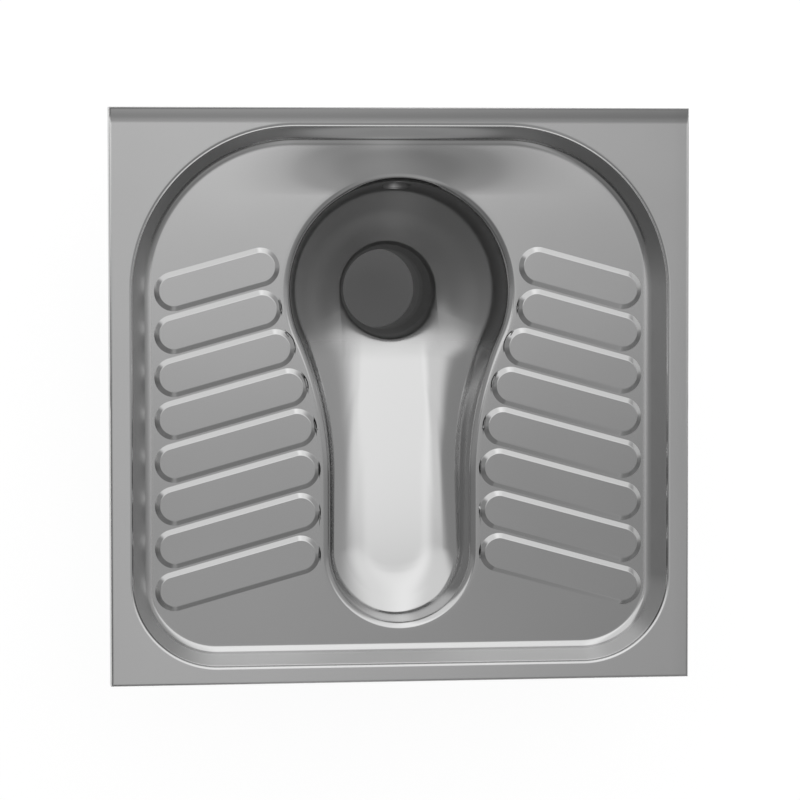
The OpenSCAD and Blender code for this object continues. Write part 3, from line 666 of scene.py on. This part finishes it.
def makeBowl():
    bm = bmesh.new()
    ring = closedLoop(bm, [line.at(-b["rimR"] - t["seam"]) for line in lines], panelZ)
    for i in range(b["rollSteps"] + 1):
        a = (math.pi / 2 - draft) * i / b["rollSteps"]
        inset, drop = b["rimR"] * (math.sin(a) - 1), b["rimR"] * (1 - math.cos(a))
        ring = nextRing(bm, ring, [(*line.at(inset), panelZ - drop) for line in lines])
    for i in range(1, b["wallSteps"] + 1):
        part = (i / b["wallSteps"]) ** b["wallSpread"]
        ring = nextRing(bm, ring, [line.wallSpot(part) for line in lines])
    for i in range(1, b["floorSteps"]):
        part = 1 - math.cos(math.pi / 2 * i / b["floorSteps"]) ** b["floorSpread"]
        ring = nextRing(bm, ring, [line.floorSpot(part) for line in lines])
    for i in range(b["throatSteps"] + 1):
        part = i / b["throatSteps"]
        radius, drop = mouthR - b["throatTaper"] * part, b["depth"] + b["throatHeight"] * part
        ring = nextRing(bm, ring, [(*line.mouth(radius), panelZ - drop) for line in lines])
    nextRing(bm, ring, [(*line.mouth(b["outletR"]), bowlLow.z) for line in lines])
    faceUp(bm, lambda face: face.calc_center_median().z)
    makePiece("bowl_pressing", bm, "satin_steel", "bowl", sharp=60, thickness=sheetSize["thickness"],
              cutters=[cutterOf(inletSize["holeR"], (0, b["headY"] + b["headR"], inletSize["axisZ"]), "Y",
                                depth=b["headR"], segments=96)])


makeBowl()
print("bowl made")


# A section is a list of (radius, height, rounding) corners
outletSize = {
    "section": ((42.45, 21, 0.3), (43.85, 21, 0), (44.45, 22.2, 0), (44.45, 43, 0), (45.95, 43, 1.35),
                (45.95, 46, 1.35), (44.45, 46, 0), (44.45, 67, 0.3), (42.45, 67, 0.3)),
    "weldR": 1.3, "weldDrops": 110, "ringR": 44.35, "ringZ": 66.8,
}


def alongFlush(bm, y):  # turns a part made on the z axis to the flush tube's axis
    turnTo(bm, -math.pi / 2, "X")
    moveBy(bm, 0, y, inletSize["axisZ"])


def makeOutlet():
    s = outletSize
    bm = spun(s["section"])
    for x, y in ringOf(s["weldDrops"], s["ringR"]):
        weldDrop(bm, (x, y, s["ringZ"]), s["weldR"])
    moveBy(bm, 0, b["headY"], 0)
    makePiece("outlet_tube", bm, "mill_steel", "outlet_spigot")


def makeFlushPipe():  # its front end follows the bowl's rear wall
    s = inletSize
    inner, outer, length = s["outerR"] - s["wall"], s["outerR"], s["length"]
    bm = spun([(inner, 0, s["frontEdge"]), (outer, 0, 0), (outer, length, s["rearEdge"]),
               (inner, length, s["rearEdge"])])
    alongFlush(bm, s["endY"] - length)

    def wallY(x, z, out):  # where the rear wall's inner face is, moved out by this much
        return b["headY"] + math.sqrt((b["headR"] - kneeInset(panelZ - z) + out) ** 2 - x ** 2)

    for vert in bm.verts:
        if vert.co.y < s["endY"] - length / 2:
            vert.co.y = wallY(vert.co.x, vert.co.z, -s["slip"])
    for x, up in ringOf(s["weldDrops"], outer + s["weldOut"]):
        z = s["axisZ"] + up
        weldDrop(bm, (x, wallY(x, z, sheetSize["thickness"] + s["weldBack"]), z), s["weldR"])
    makePiece("flush_pipe", bm, "mill_steel", "flush_inlet")


makeOutlet()
makeFlushPipe()
print("outlet and flush pipe made")


hexSize = {"steps": 8, "topShare": 0.96, "chamfer": 30, "boreEdge": 0.4}


def hexPart(height, flats, bore=0.0):  # a nut or bolt head with chamfered corners, from z = 0 up
    bm = bmesh.new()
    n = 6 * hexSize["steps"]
    angles = [2 * math.pi * i / n for i in range(n)]
    flat = flats / 2 * hexSize["topShare"]
    reach = [flats / 2 / math.cos(a % (math.pi / 3) - math.pi / 6) for a in angles]
    drop = [(r - flat) * math.tan(hexSize["chamfer"] * deg) for r in reach]
    rings = [([flat] * n, [0] * n), (reach, drop), (reach, [height - d for d in drop]),
             ([flat] * n, [height] * n)]
    if bore:
        edge = hexSize["boreEdge"]
        wide = bore + edge
        rings = [([bore] * n, [edge] * n), ([wide] * n, [0] * n), *rings,
                 ([wide] * n, [height] * n), ([bore] * n, [height - edge] * n)]
    loops = [[bm.verts.new((*(wayOf(a) * r), z)) for a, r, z in zip(angles, *ring)] for ring in rings]
    pairs = list(zip(loops, loops[1:])) + ([(loops[-1], loops[0])] if bore else [])
    for low, high in pairs:
        for i in range(n):
            bm.faces.new((low[i], low[(i + 1) % n], high[(i + 1) % n], high[i]))
    if not bore:
        bm.faces.new(loops[0])
        bm.faces.new(loops[-1])
    faceOut(bm)
    return bm


# A thread's depth and the two ends of its crest, as shares of its pitch
threadSize = {"turnSteps": 16, "depth": 0.6, "crest": (0.4, 0.6), "chamfer": 1}


def cutFlat(bm, height, side):  # cuts off all that lies on one side of a level plane
    return ops.bisect_plane(bm, geom=bm.verts[:] + bm.edges[:] + bm.faces[:], plane_co=(0, 0, height),
                            plane_no=(0, 0, side), clear_outer=True)["geom_cut"]


def thread(radius, pitch, low, high):  # a screw thread up the z axis, its top end chamfered
    s = threadSize
    bm = bmesh.new()
    section = ((radius - s["depth"] * pitch, 0), *((radius, share) for share in s["crest"]))
    steps = s["turnSteps"]
    rows = []
    for i in range((math.ceil((high - low) / pitch) + 3) * steps):
        way, z = wayOf(2 * math.pi * i / steps), low + pitch * (i / steps - 2)
        rows.append([bm.verts.new((*(way * r), z + share * pitch)) for r, share in section])
    for i in range(len(rows) - steps - 1):
        here, after = rows[i], rows[i + 1]
        bm.faces.new((here[0], after[0], after[1], here[1]))
        bm.faces.new((here[1], after[1], after[2], here[2]))
        bm.faces.new((here[2], after[2], rows[i + steps + 1][0], rows[i + steps][0]))
    for height, side in ((low, -1), (high, 1)):
        rim = [part for part in cutFlat(bm, height, side) if isinstance(part, bmesh.types.BMEdge)]
        ops.triangle_fill(bm, use_beauty=True, edges=rim)
    for vert in bm.verts:
        reach = vert.co.xy.length
        limit = radius - max(0, vert.co.z - (high - s["chamfer"]))
        if reach > limit:
            vert.co.xy *= limit / reach
    faceOut(bm)
    return bm


# Each lip is a list of heights: its root's low side, its tip's two sides, its root's high side
sealSize = {"lowZ": 46.1, "height": 18, "innerR": 44.55, "sleeve": 3.15, "lipR": 54, "lips": 3, "pitch": 6,
            "lip": (0.4, 4.1, 4.8, 4.0), "edge": 0.4, "lipEdge": 0.25, "lipRoot": 0.6, "steps": 128}


def makeSeal():
    s = sealSize
    inner, outer, tip, edge = s["innerR"], s["innerR"] + s["sleeve"], s["lipR"], s["edge"]
    corners = [(inner, 0, edge), (outer, 0, 0)]
    for k in range(s["lips"]):
        rootLow, tipLow, tipHigh, rootHigh = [k * s["pitch"] + z for z in s["lip"]]
        corners += [(outer, rootLow, 0), (tip, tipLow, s["lipEdge"]), (tip, tipHigh, s["lipEdge"]),
                    (outer, rootHigh, s["lipRoot"])]
    corners += [(outer, s["height"], edge), (inner, s["height"], edge)]
    bm = spun(corners, s["steps"])
    moveBy(bm, 0, b["headY"], s["lowZ"])
    makePiece("seal_ring", bm, "black_rubber", "outlet_seal", sharp=40.0)


# The sleeve has a rib at each end, and a low guide that keeps the clip in place
connectorSize = {
    "startY": 253,
    "section": ((16.95, 0, 0.3), (21.45, 0, 0.9), (21.45, 3.5, 0.9), (20.45, 3.8, 0.3), (20.45, 15.8, 0),
                (20.95, 16.1, 0.2), (20.95, 17.4, 0.2), (20.45, 17.7, 0), (20.45, 33.2, 0.3),
                (21.45, 33.5, 0.9), (21.45, 37, 0.9), (16, 37, 0.5), (16, 18, 0.2), (16.95, 18, 0.2)),
}


def makeConnector():
    bm = spun(connectorSize["section"])
    alongFlush(bm, connectorSize["startY"])
    makePiece("flush_sleeve", bm, "black_rubber", "flush_connector", sharp=40.0)


# The clip's band has slots for its screw, except under the screw's box; angles in radians
clipSize = {"startY": 259.25, "width": 9, "innerR": 20.55, "outerR": 21.35, "steps": 144, "edge": 0.25,
            "innerEdge": 0.15, "slotFrom": 2.4, "slotTo": 6.6, "slotsTo": 2.4, "slotInset": 0.14,
            "slotDepth": 0.3, "boxHeight": 6, "boxLength": 10, "boxEdge": 0.4, "screwEdge": 0.3,
            "box": ((-6.5, 0, 1.6), (6.5, 0, 1.6), (6.5, 6.4, 0.6), (4.3, 6.6, 0), (-4.3, 6.6, 0),
                    (-6.5, 6.4, 0.6))}


def makeClip():
    s = clipSize
    inner, outer = s["innerR"], s["outerR"]
    bm = spun([(inner, 0, s["innerEdge"]), (outer, 0, s["edge"]), (outer, s["slotFrom"], 0),
               (outer, s["slotTo"], 0), (outer, s["width"], s["edge"]), (inner, s["width"], s["innerEdge"])],
              s["steps"])

    def isSlot(face):
        x, y, z = face.calc_center_median()
        everySecond = round(math.atan2(y, x) * s["steps"] / (2 * math.pi) + 0.5) % 2
        outside = s["slotFrom"] < z < s["slotTo"] and math.hypot(x, y) > (inner + outer) / 2
        return outside and everySecond and math.atan2(y, x) < s["slotsTo"]

    ops.inset_individual(bm, faces=[face for face in bm.faces if isSlot(face)],
                         thickness=s["slotInset"], depth=-s["slotDepth"])
    alongFlush(bm, s["startY"])
    box = drawnOut(s["box"], s["boxLength"])
    easeEdges(box, s["boxEdge"])
    moveBy(box, 0, s["startY"] + s["width"] / 2, inletSize["axisZ"] - outer - s["boxHeight"])
    addTo(bm, box)
    makePiece("clip_strap", bm, "mill_steel", "clip_band")
    bm = copyOf("clip_screw")
    easeEdges(bm, s["screwEdge"])
    makePiece("clip_screw_head", bm, "zinc_steel", "clip_screw")


railSize = {"width": 40, "height": 22, "thickness": 2, "length": 428, "outerBend": 3.5, "innerBend": 1.5,
            "edge": 0.3, "stitches": (-140, -50, 25, 125), "stitchLength": 22, "beadR": 1.4, "beadIn": 0.6,
            "beadDown": 1.3}


def makeRail(name):
    s = railSize
    middle = middleOf(name)
    low, high = sizeOf(name)
    half, top, edge = s["width"] / 2, s["height"], s["edge"]
    inside, under = half - s["thickness"], top - s["thickness"]
    bm = drawnOut([(-half, 0, edge), (-inside, 0, edge), (-inside, under, s["innerBend"]),
                   (inside, under, s["innerBend"]), (inside, 0, edge), (half, 0, edge),
                   (half, top, s["outerBend"]), (-half, top, s["outerBend"])], s["length"])
    moveBy(bm, middle.x, middle.y, low.z)
    reach = Vector((0, s["stitchLength"] / 2, 0))
    for side in (-1, 1):
        for y in s["stitches"]:
            spot = Vector((middle.x + side * (half - s["beadIn"]), y, high.z - s["beadDown"]))
            weldBead(bm, spot - reach, spot + reach, s["beadR"])
    makePiece(name + "_channel", bm, "mill_steel", name)


bracketSize = {"width": 45, "length": 40, "thickness": 2.5, "outerBend": 4, "innerBend": 1.5, "edge": 0.35,
               "boreR": 5.3}


def makeBracket(name):
    s = bracketSize
    middle = middleOf(name)
    low, high = sizeOf(name)
    half, wall, top = s["width"] / 2, s["thickness"], high.z - low.z
    inside = half - wall
    bm = drawnOut([(-half, 0, s["outerBend"]), (half, 0, s["outerBend"]), (half, top, 0), (inside, top, 0),
                   (inside, wall, s["innerBend"]), (-inside, wall, s["innerBend"]), (-inside, top, 0),
                   (-half, top, 0)], s["length"])
    easeEdges(bm, s["edge"], sharpEdges(bm))
    moveBy(bm, middle.x, middle.y, low.z)
    makePiece(name + "_cradle", bm, "zinc_steel", name,
              cutters=[cutterOf(s["boreR"], (middle.x, middle.y, low.z))])


nutSize = {"flats": 17, "boreR": 5.3, "weldHeight": 8, "lockHeight": 5}
studSize = {"radius": 5, "pitch": 1.5, "threadZ": 21, "collarZ": 17, "collarHeight": 8, "steps": 48,
            "ball": ((0, 7, 0), (6, 7, 2.5), (6, 17.5, 0), (0, 17.5, 0))}
cornerNames = ("front_left", "front_right", "rear_left", "rear_right")


def toFoot(bm, corner, z):  # moves a part made on the z axis to a foot's axis
    middle = middleOf(corner + "_stud")
    moveBy(bm, middle.x, middle.y, z)


def makeNuts(name, height, pieceName):
    bm = bmesh.new()
    for corner in cornerNames:
        nut = hexPart(height, nutSize["flats"], nutSize["boreR"])
        toFoot(nut, corner, sizeOf(name)[0].z)
        addTo(bm, nut)
    makePiece(pieceName, bm, "zinc_steel", name, sharp=25.0)


def makeStud(corner):
    s = studSize
    bm = thread(s["radius"], s["pitch"], s["threadZ"], sizeOf(corner + "_stud")[1].z)
    collar = hexPart(s["collarHeight"], nutSize["flats"])
    moveBy(collar, 0, 0, s["collarZ"])
    addTo(bm, collar)
    addTo(bm, spun(s["ball"], s["steps"]))
    toFoot(bm, corner, 0)
    makePiece(corner + "_screw", bm, "zinc_steel", corner + "_stud", corner + "_foot", sharp=25.0)


# A dished plate: a rim, a thin web, and a flared hub with a socket, joined by ribs
plateSize = {
    "lowZ": 3, "steps": 72, "ribs": 12, "ribWidth": 1.6,
    "section": ((0, 0, 0), (25, 0, 0.3), (25, 5, 0.9), (22.6, 5, 0.7), (22.6, 2.4, 0.8), (12.5, 2.4, 1.2),
                (12.1, 9.6, 0), (10.1, 13, 0.7), (6.1, 13, 0.5), (6.1, 4, 0), (0, 4, 0)),
    "rib": ((11.1, 1.9, 0), (23.1, 1.9, 0), (23.1, 4.6, 0), (12, 9.4, 0), (11.1, 9.4, 0)),
}


def makePlate(corner):
    s = plateSize
    bm = spun(s["section"], s["steps"])
    for i in range(s["ribs"]):
        rib = drawnOut(s["rib"], s["ribWidth"])
        turnTo(rib, 2 * math.pi * i / s["ribs"], "Z")
        addTo(bm, rib)
    toFoot(bm, corner, s["lowZ"])
    makePiece(corner + "_pad", bm, "grey_nylon", corner + "_plate", corner + "_foot")


soleSize = {"height": 3, "radius": 25, "chamfer": 1, "grooves": (5, 9, 13, 17, 21), "grooveWidth": 1.3,
            "grooveDepth": 0.9, "slant": 0.2, "edge": 0.2, "outerEdge": 0.3, "steps": 72}


def makeSole(corner):
    s = soleSize
    outline = [(0, 0, 0)]
    for r in s["grooves"]:
        end, depth = r + s["grooveWidth"], s["grooveDepth"]
        outline += [(r, 0, s["edge"]), (r + s["slant"], depth, 0), (end, depth, 0),
                    (end + s["slant"], 0, s["edge"])]
    outline += [(s["radius"] - s["chamfer"], 0, s["edge"]), (s["radius"], s["chamfer"], s["outerEdge"]),
                (s["radius"], s["height"], 0), (0, s["height"], 0)]
    bm = spun(outline, s["steps"])
    toFoot(bm, corner, 0)
    makePiece(corner + "_grip", bm, "black_rubber", corner + "_sole", corner + "_foot")


anchorSize = {"width": 30, "thickness": 2, "foot": 20, "outerBend": 3, "innerBend": 1, "endRound": 5,
              "endSteps": 5, "holeR": 4.5, "holeZ": 18}


def makeAnchor(name):
    s = anchorSize
    middle = middleOf(name)
    low, high = sizeOf(name)
    back = 1 if middle.y > 0 else -1
    wallY = high.y if back > 0 else -low.y
    wall, top = s["thickness"], high.z - low.z
    foot = wallY - s["foot"] - wall
    bm = drawnOut([(foot, 0, 0), (wallY, 0, s["outerBend"]), (wallY, top, 0), (wallY - wall, top, 0),
                   (wallY - wall, wall, s["innerBend"]), (foot, wall, 0)], s["width"])
    ends = [edge for edge in bm.edges if abs(edge.calc_length() - wall) < near
            and all(vert.co.x < foot + near or vert.co.z > top - near for vert in edge.verts)]
    easeEdges(bm, s["endRound"], ends, segments=s["endSteps"])
    turnTo(bm, math.pi / 2, "Z")
    if back < 0:
        ops.scale(bm, vec=(1, -1, 1), verts=bm.verts)
        faceOut(bm)
    moveBy(bm, middle.x, 0, low.z)
    makePiece(name + "_strap", bm, "zinc_steel", name,
              cutters=[cutterOf(s["holeR"], (middle.x, back * wallY, low.z + s["holeZ"]), "Y")])


damperSize = {"cornerR": 8, "cornerSteps": 8, "edge": 0.6}


def makeDamper(name):
    s = damperSize
    low, high = sizeOf(name)
    bm = bmesh.new()
    flatFace(bm, [(x, y, s["cornerR"]) for x, y in
                  ((low.x, low.y), (high.x, low.y), (high.x, high.y), (low.x, high.y))], s["cornerSteps"])
    moveBy(bm, 0, 0, low.z)
    thicken(bm, 0, 0, high.z - low.z)
    easeEdges(bm, s["edge"], [edge for edge in sharpEdges(bm)
                              if all(vert.co.z < low.z + near for vert in edge.verts)])
    makePiece(name + "_sheet", bm, "bitumen_sheet", name)


earthSize = {"tabRound": 6, "tabSteps": 8, "tabEdge": 0.25, "boltR": 3, "boreR": 3.1, "flats": 9.9,
             "headHeight": 4, "threadZ": 3, "nutHeight": 5, "pitch": 1, "washerHeight": 1.2,
             "washerSteps": 64, "washer": ((3.1, 0, 0.1), (6, 0, 0.3), (6, 1.2, 0.3), (3.1, 1.2, 0.1))}


def makeEarthing():  # the tab on the rail with its bolt, washers and nut, all on one axis
    s = earthSize
    low, high = sizeOf("earth_tab")
    axis = middleOf("earth_nut")
    bm = bmesh.new()
    flatFace(bm, [(low.y, low.z, s["tabRound"]), (high.y, low.z, s["tabRound"]), (high.y, high.z, 0),
                  (low.y, high.z, 0)], s["tabSteps"])
    thicken(bm, 0, 0, high.x - low.x)
    for vert in bm.verts:
        vert.co = Vector((low.x + vert.co.z, vert.co.x, vert.co.y))
    faceOut(bm)
    easeEdges(bm, s["tabEdge"], sharpEdges(bm))
    makePiece("earth_lug", bm, "mill_steel", "earth_tab",
              cutters=[cutterOf(s["boreR"], (low.x, axis.y, axis.z), "X")])

    boltLow, boltHigh = sizeOf("earth_bolt")
    bolt = thread(s["boltR"], s["pitch"], s["threadZ"], boltHigh.x - boltLow.x)
    addTo(bolt, hexPart(s["headHeight"], s["flats"]))
    nutHigh = sizeOf("earth_nut")[1]
    nut = hexPart(s["nutHeight"], s["flats"], s["boreR"])
    for bm, x in ((bolt, boltHigh.x), (nut, nutHigh.x)):
        turnTo(bm, -math.pi / 2, "Y")
        moveBy(bm, x, axis.y, axis.z)
    makePiece("earth_screw", bolt, "zinc_steel", "earth_bolt", sharp=25.0)
    makePiece("earth_hex_nut", nut, "zinc_steel", "earth_nut", sharp=25.0)

    washerLow, washerHigh = sizeOf("earth_washers")
    both = bmesh.new()
    for x in (washerHigh.x, washerLow.x + s["washerHeight"]):
        washer = spun(s["washer"], s["washerSteps"])
        turnTo(washer, -math.pi / 2, "Y")
        moveBy(washer, x, axis.y, axis.z)
        addTo(both, washer)
    makePiece("earth_washer_pair", both, "zinc_steel", "earth_washers")


makeSeal()
makeConnector()
makeClip()
for name in ("left_rail", "right_rail"):
    makeRail(name)
makeNuts("weld_nuts", nutSize["weldHeight"], "weld_nut_set")
makeNuts("lock_nuts", nutSize["lockHeight"], "lock_nut_set")
for corner in cornerNames:
    makeBracket(corner + "_bracket")
    makeStud(corner)
    makePlate(corner)
    makeSole(corner)
    makeAnchor(corner + "_anchor")
    makeDamper(corner + "_damper")
makeEarthing()
print("hardware made")


studio = {"tentR": 8.0, "rimHeight": 0.02, "floorSize": 14.0, "floorTone": 0.8, "paintedShadowFade": (0.2, 0.27),
          "floorGlow": 0.93, "floorShade": 0.16, "paintedDrainLight": 0.05, "drainFade": (0.06, 0.045),
          "worldLight": 0.4}


def shownOrLit(graph, lit, shown):  # one look for camera, mirrored and transmitted rays, another as a light
    seen = [graph.node("LightPath", output=name) for name in
            ("Is Camera Ray", "Is Glossy Ray", "Is Transmission Ray")]
    share = seen[0].math("MAXIMUM", seen[1].math("MAXIMUM", seen[2]))
    return graph.node("MixShader", inputs={0: share, 1: lit, 2: shown})


def stagePiece(name, bm, material):
    made = objectOf(name, bm, unit=1)
    made.data.materials.append(material)
    return made


# The tent's light by direction, as a length of 1 with x to the right, y to the rear and z up. A pair of
# numbers is a fade, the places between which the light changes, and a single one is a strength
tentLight = {
    "left": 0.32, "right": 0.13, "rightFade": (-0.15, 0.05), "farRight": 0.3, "farRightFade": (0.3, 1.0),
    "lowDark": 0.45, "lowFade": (0.3, 0.02), "middle": 0.2, "middleX": 0.06, "middleFade": (0.0, 0.22),
    "front": 0.3, "frontFade": (-0.005, -0.07), "band": 0.15, "bandFade": (-0.12, -0.27),
    "bandEndFade": (-0.3, -0.6), "lowFront": 0.5, "lowFrontFade": (-0.1, -0.6), "lowFrontHeight": (0.5, 0.1),
    "box": 0.62, "boxFade": (0.045, 0.072), "boxHeight": (0.0, 0.35), "boxTurn": 0.4,
    "boxLeftFade": (-0.5, -0.28), "boxRightFade": (0.3, 0.75),
}


def makeTent():  # a soft light tent: palest overhead, with one broad soft light towards the rear
    material, graph = newMaterial("tent")
    s = tentLight
    x, y, z = graph.partsOf(graph.node("VectorMath", {"operation": "NORMALIZE"}, {0: graph.spot()}))
    farRight = x.smooth(*s["farRightFade"]) * s["farRight"]
    sides = s["left"] + s["right"] * x.smooth(*s["rightFade"]) * (1 - farRight)
    sides = sides * (1 - s["lowDark"] * z.smooth(*s["lowFade"]))
    overhead = sides + s["middle"] * (1 - abs(x - s["middleX"]).smooth(*s["middleFade"]))
    band = s["band"] * y.smooth(*s["bandFade"]) * (1 - y.smooth(*s["bandEndFade"]))
    nearFront = s["front"] * y.smooth(*s["frontFade"]) + band
    lowFront = s["lowFront"] * y.smooth(*s["lowFrontFade"]) * z.smooth(*s["lowFrontHeight"])
    overhead = overhead * (1 - nearFront - lowFront)
    softbox = y.smooth(*s["boxFade"]) * z.smooth(*s["boxHeight"])
    softbox = softbox * (x + s["boxTurn"] * y).smooth(*s["boxLeftFade"]) * (1 - x.smooth(*s["boxRightFade"]))
    glow = graph.node("Emission", inputs={"Color": overhead + softbox * s["box"]})
    graph.node("OutputMaterial", inputs={"Surface": glow})
    bm = bmesh.new()
    ops.create_uvsphere(bm, u_segments=48, v_segments=24, radius=studio["tentR"])
    cutFlat(bm, studio["rimHeight"], -1)
    ops.reverse_faces(bm, faces=bm.faces)
    stagePiece("tent", bm, material).visible_camera = False


def makeFloor():  # white to the rays that show it, with a painted shadow in a square under the pan and a painted pool of light on the floor below the outlet
    material, graph = newMaterial("paleFloor")
    x, y = graph.partsOf(graph.spot())[:2]
    # painted shadow: the white glow fades out in a square under the pan, set by place and not by the pan's
    # real shadow
    clear = abs(x).math("MAXIMUM", abs(y)).smooth(*studio["paintedShadowFade"])
    # painted light: a faint glow in a disc on the floor straight below the outlet
    besideDrain = y - b["headY"] * mm
    paintedLightSpot = (x * x + besideDrain * besideDrain).math("SQRT").smooth(*studio["drainFade"])
    glow = graph.node("Emission", inputs={"Color": clear * studio["floorGlow"] + paintedLightSpot * studio["paintedDrainLight"]})
    lit, shaded = [graph.node("BsdfDiffuse", inputs={"Color": grey(studio[name])})
                   for name in ("floorTone", "floorShade")]
    shown = graph.node("AddShader", inputs={0: glow, 1: shaded})
    graph.node("OutputMaterial", inputs={"Surface": shownOrLit(graph, lit, shown)})
    bm = bmesh.new()
    ops.create_grid(bm, x_segments=1, y_segments=1, size=studio["floorSize"] / 2)
    stagePiece("floor", bm, material)


def makeWorld():
    world = bpy.data.worlds.new("paleStudio")
    scene.world = world
    world.use_nodes = True
    graph = Graph(world.node_tree)
    lit, shown = [graph.node("Background", inputs={"Color": grey(level)})
                  for level in (studio["worldLight"], 1.0)]
    graph.node("OutputWorld", inputs={"Surface": shownOrLit(graph, lit, shown)})


# The camera's lens, its small turns in radians, and its place above the flange in millimetres
cameraSetup = {"lens": 179.37, "sensor": 36.0, "aboutX": 0.0458, "aboutY": 0.1441, "aboutZ": 0.0079,
               "shiftX": 2.45, "shiftY": 4.59, "distance": 4090.3, "clip": (0.1, 50)}


def makeCamera():
    c = cameraSetup
    turn = (Matrix.Rotation(c["aboutZ"], 3, "Z") @ Matrix.Rotation(c["aboutY"], 3, "Y")
            @ Matrix.Rotation(c["aboutX"], 3, "X")).transposed()
    place = turn @ Vector((-c["shiftX"], -c["shiftY"], c["distance"])) + Vector((0, 0, trayHigh.z))
    data = bpy.data.cameras.new("camera")
    data.lens = c["lens"]
    data.sensor_width = c["sensor"]
    data.clip_start, data.clip_end = c["clip"]
    camera = bpy.data.objects.new("camera", data)
    camera.matrix_world = Matrix.Translation(place * mm) @ turn.to_4x4()
    scene.collection.objects.link(camera)
    scene.camera = camera


makeTent()
makeFloor()
makeWorld()
makeCamera()
scene.view_settings.view_transform = "Standard"
print("studio made")
